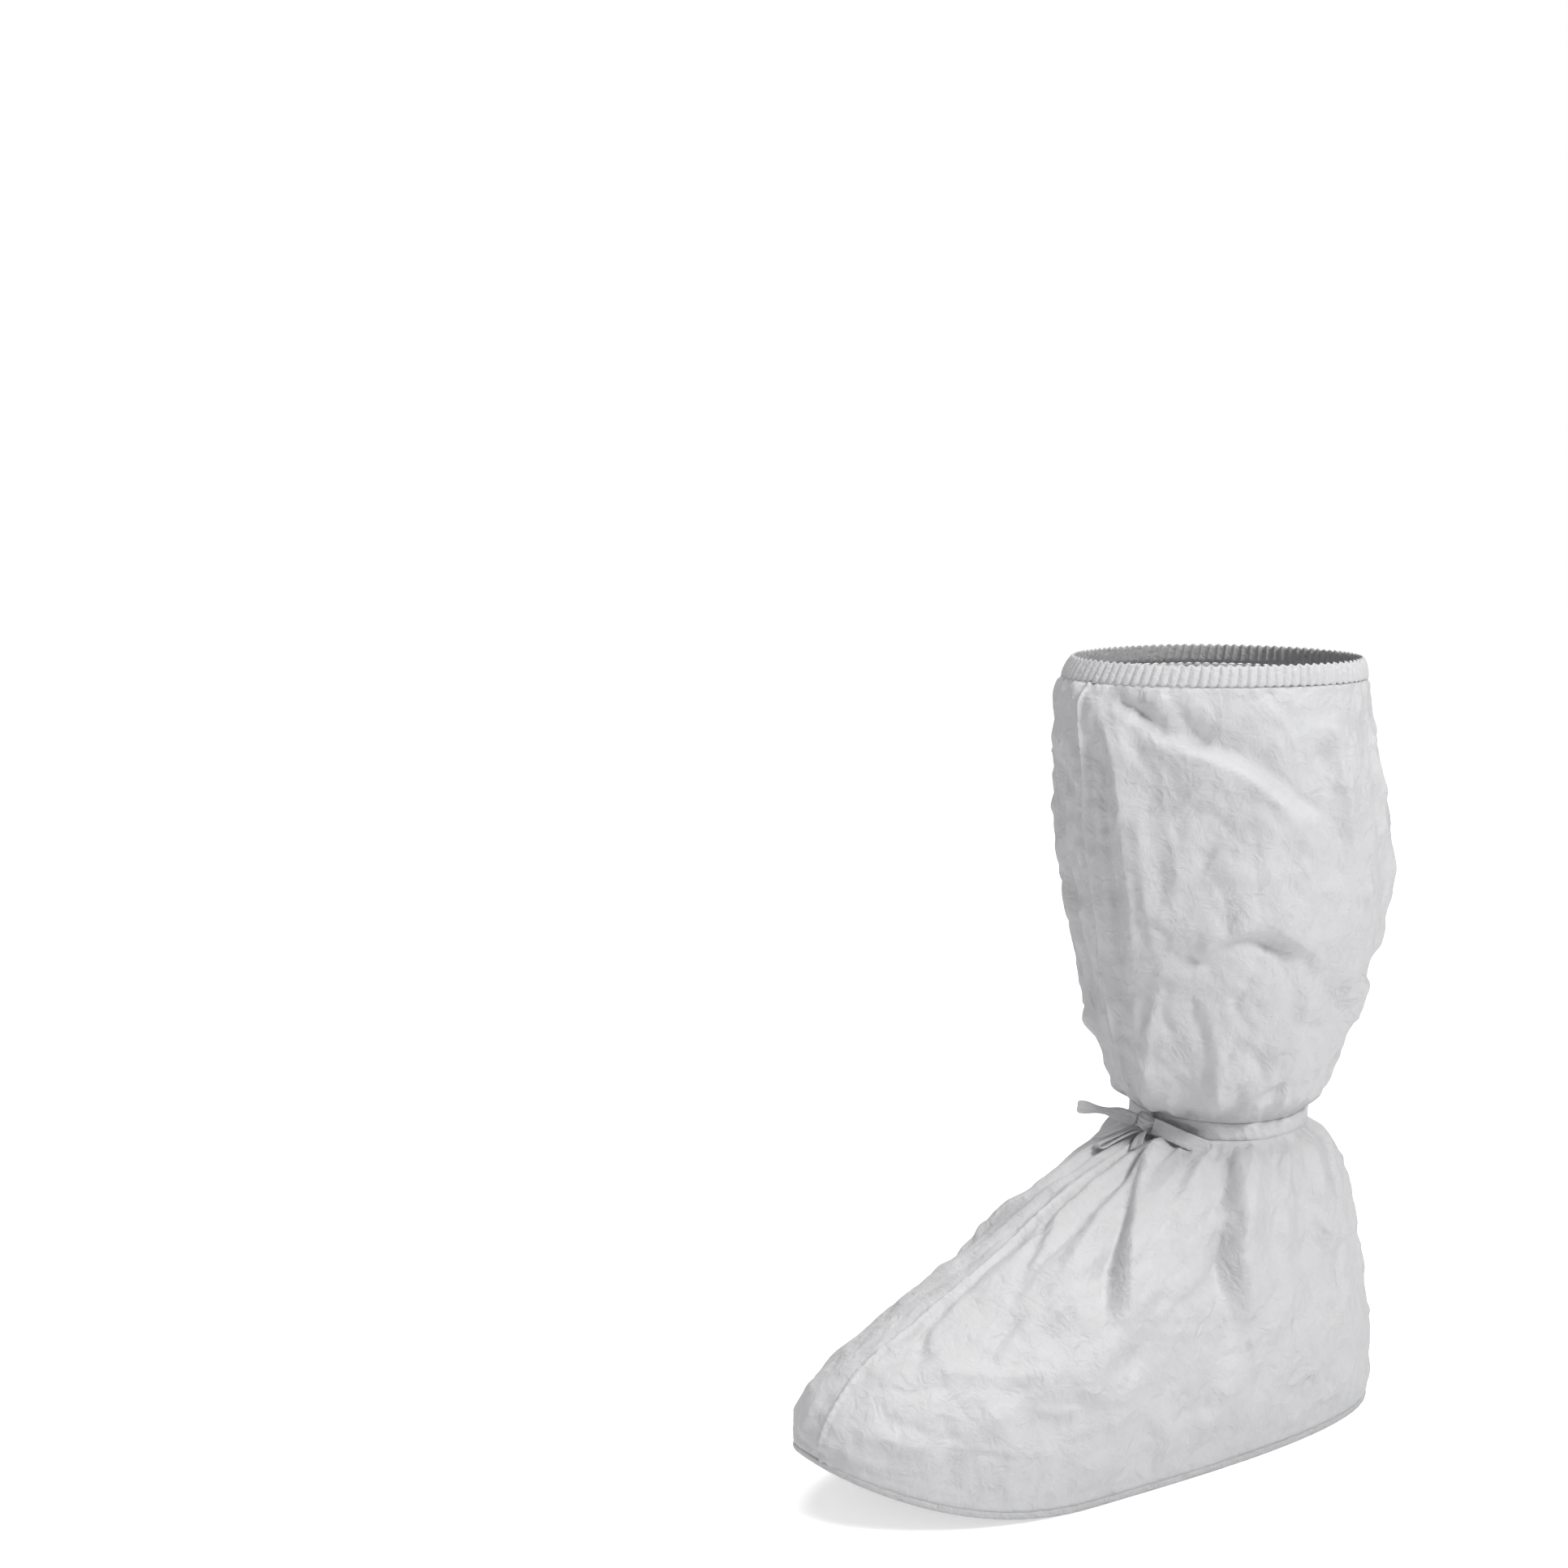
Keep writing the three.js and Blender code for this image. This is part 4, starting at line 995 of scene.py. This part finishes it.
class BOOTCOVER_OT_studio(bpy.types.Operator):
    """Make the pale floor, the soft lights and the camera"""

    bl_idname = "boot_cover.studio"
    bl_label = "Studio"

    def execute(self, context):
        self.make_floor()
        self.make_lights()
        self.make_camera(context)
        context.scene.view_settings.view_transform = "Standard"
        return {"FINISHED"}

    def make_floor(self):
        """Wide flat floor under the sole."""
        half = 6.0
        corners = np.array([(-half, -half, 0), (half, -half, 0), (half, half, 0), (-half, half, 0)])
        corners[:, 2] = SOLE_BOTTOM - 0.1 * MM
        floor = make_mesh("studio_floor", corners, np.array([[0, 1, 2, 3]]), smooth=False)
        material = bpy.data.materials.new("studio floor")
        material.use_nodes = True
        shader = material.node_tree.nodes["Principled BSDF"]
        shader.inputs["Base Color"].default_value = (0.93, 0.93, 0.935, 1)
        shader.inputs["Roughness"].default_value = 0.32
        shader.inputs["Specular IOR Level"].default_value = 0.4
        nodes, links = material.node_tree.nodes, material.node_tree.links
        shader.inputs["Emission Color"].default_value = (1, 1, 1, 1)
        ray, lift = nodes.new("ShaderNodeLightPath"), nodes.new("ShaderNodeMath")
        lift.operation = "MULTIPLY"
        lift.inputs[1].default_value = 0.57
        links.new(ray.outputs["Is Camera Ray"], lift.inputs[0])
        links.new(lift.outputs["Value"], shader.inputs["Emission Strength"])
        floor.data.materials.append(material)

    def make_lights(self):
        """White room light, a large soft key from the right, and an overhead panel for the floor."""
        world = bpy.data.worlds.new("studio white")
        bpy.context.scene.world = world
        world.use_nodes = True
        nodes, links = world.node_tree.nodes, world.node_tree.links
        seen, lit = nodes["Background"], nodes.new("ShaderNodeBackground")
        seen.inputs["Color"].default_value = (1, 1, 1, 1)
        seen.inputs["Strength"].default_value = 1.0
        lit.inputs["Color"].default_value = (0.95, 0.94, 1, 1)
        lit.inputs["Strength"].default_value = 0.14
        ray, mix = nodes.new("ShaderNodeLightPath"), nodes.new("ShaderNodeMixShader")
        links.new(ray.outputs["Is Camera Ray"], mix.inputs["Fac"])
        links.new(lit.outputs["Background"], mix.inputs[1])
        links.new(seen.outputs["Background"], mix.inputs[2])
        links.new(mix.outputs["Shader"], nodes["World Output"].inputs["Surface"])
        self.make_area("key light", (1.85, 0.0, 1.85), (0, -0.03, 0.18), 0.5, 40)
        self.make_area("fill light", (-0.9, -2.2, 0.15), (0, 0, 0.28), 0.5, 7.5)
        self.make_area("back light", (-1.6, 1.7, 1.2), (0, 0, 0.2), 0.8, 16)
        self.make_sun("overhead light", 1.6, 45)

    def make_sun(self, name, strength, spread):
        """Light from straight above with a wide soft angle, which whitens the floor evenly."""
        light = bpy.data.lights.new(name, "SUN")
        light.energy = strength
        light.angle = np.radians(spread)
        lamp = bpy.data.objects.new(name, light)
        lamp.location = (0, 0, 3)
        bpy.context.scene.collection.objects.link(lamp)

    def make_area(self, name, place, aim, size, power):
        """Square soft light that faces a point."""
        light = bpy.data.lights.new(name, "AREA")
        light.size = size
        light.energy = power
        lamp = bpy.data.objects.new(name, light)
        lamp.location = place
        lamp.rotation_euler = (Vector(aim) - Vector(place)).to_track_quat("-Z", "Y").to_euler()
        bpy.context.scene.collection.objects.link(lamp)

    def make_camera(self, context):
        """Camera at the photograph's angle and framing."""
        turn, distance, height = np.radians(46.7), 1.2402, 0.4869
        aim_turn, tilt = np.radians(46.7 + 10.5), np.radians(7.4)
        focal_pixels, frame_pixels = 3000.0, 1932.0
        camera_data = bpy.data.cameras.new("camera")
        camera_data.sensor_width = 36.0
        camera_data.lens = 36.0 * focal_pixels / frame_pixels
        camera_data.clip_start = 0.05
        camera_data.clip_end = 50.0
        camera = bpy.data.objects.new("camera", camera_data)
        camera.location = (np.sin(turn) * distance, -np.cos(turn) * distance, height)
        camera.rotation_euler = (np.pi / 2 - tilt, 0.0, aim_turn)
        context.scene.collection.objects.link(camera)
        context.scene.camera = camera


class BOOTCOVER_PT_sidebar(bpy.types.Panel):
    """Settings and steps of the boot cover"""

    bl_idname = "BOOTCOVER_PT_sidebar"
    bl_label = "Boot Cover"
    bl_space_type = "VIEW_3D"
    bl_region_type = "UI"
    bl_category = "Boot Cover"

    def draw(self, context):
        for settings in (context.scene.boot_cover_sizes, context.scene.boot_cover_look):
            for name in settings.__annotations__:
                self.layout.prop(settings, name)
        for step in STEPS:
            self.layout.operator(step.bl_idname)


STEPS = (
    BOOTCOVER_OT_studio,
    BOOTCOVER_OT_panels,
    BOOTCOVER_OT_sole,
    BOOTCOVER_OT_casing,
    BOOTCOVER_OT_tie,
)
SETTINGS = (BootCoverSizes, BootCoverLook)


def register():
    for item in (*SETTINGS, *STEPS, BOOTCOVER_PT_sidebar):
        bpy.utils.register_class(item)
    bpy.types.Scene.boot_cover_sizes = bpy.props.PointerProperty(type=BootCoverSizes)
    bpy.types.Scene.boot_cover_look = bpy.props.PointerProperty(type=BootCoverLook)


def unregister():
    del bpy.types.Scene.boot_cover_look
    del bpy.types.Scene.boot_cover_sizes
    for item in reversed((*SETTINGS, *STEPS, BOOTCOVER_PT_sidebar)):
        bpy.utils.unregister_class(item)


def main():
    register()
    bpy.ops.boot_cover.studio()
    bpy.ops.boot_cover.panels()
    bpy.ops.boot_cover.sole()
    bpy.ops.boot_cover.casing()
    bpy.ops.boot_cover.tie()


if __name__ == "__main__":
    main()
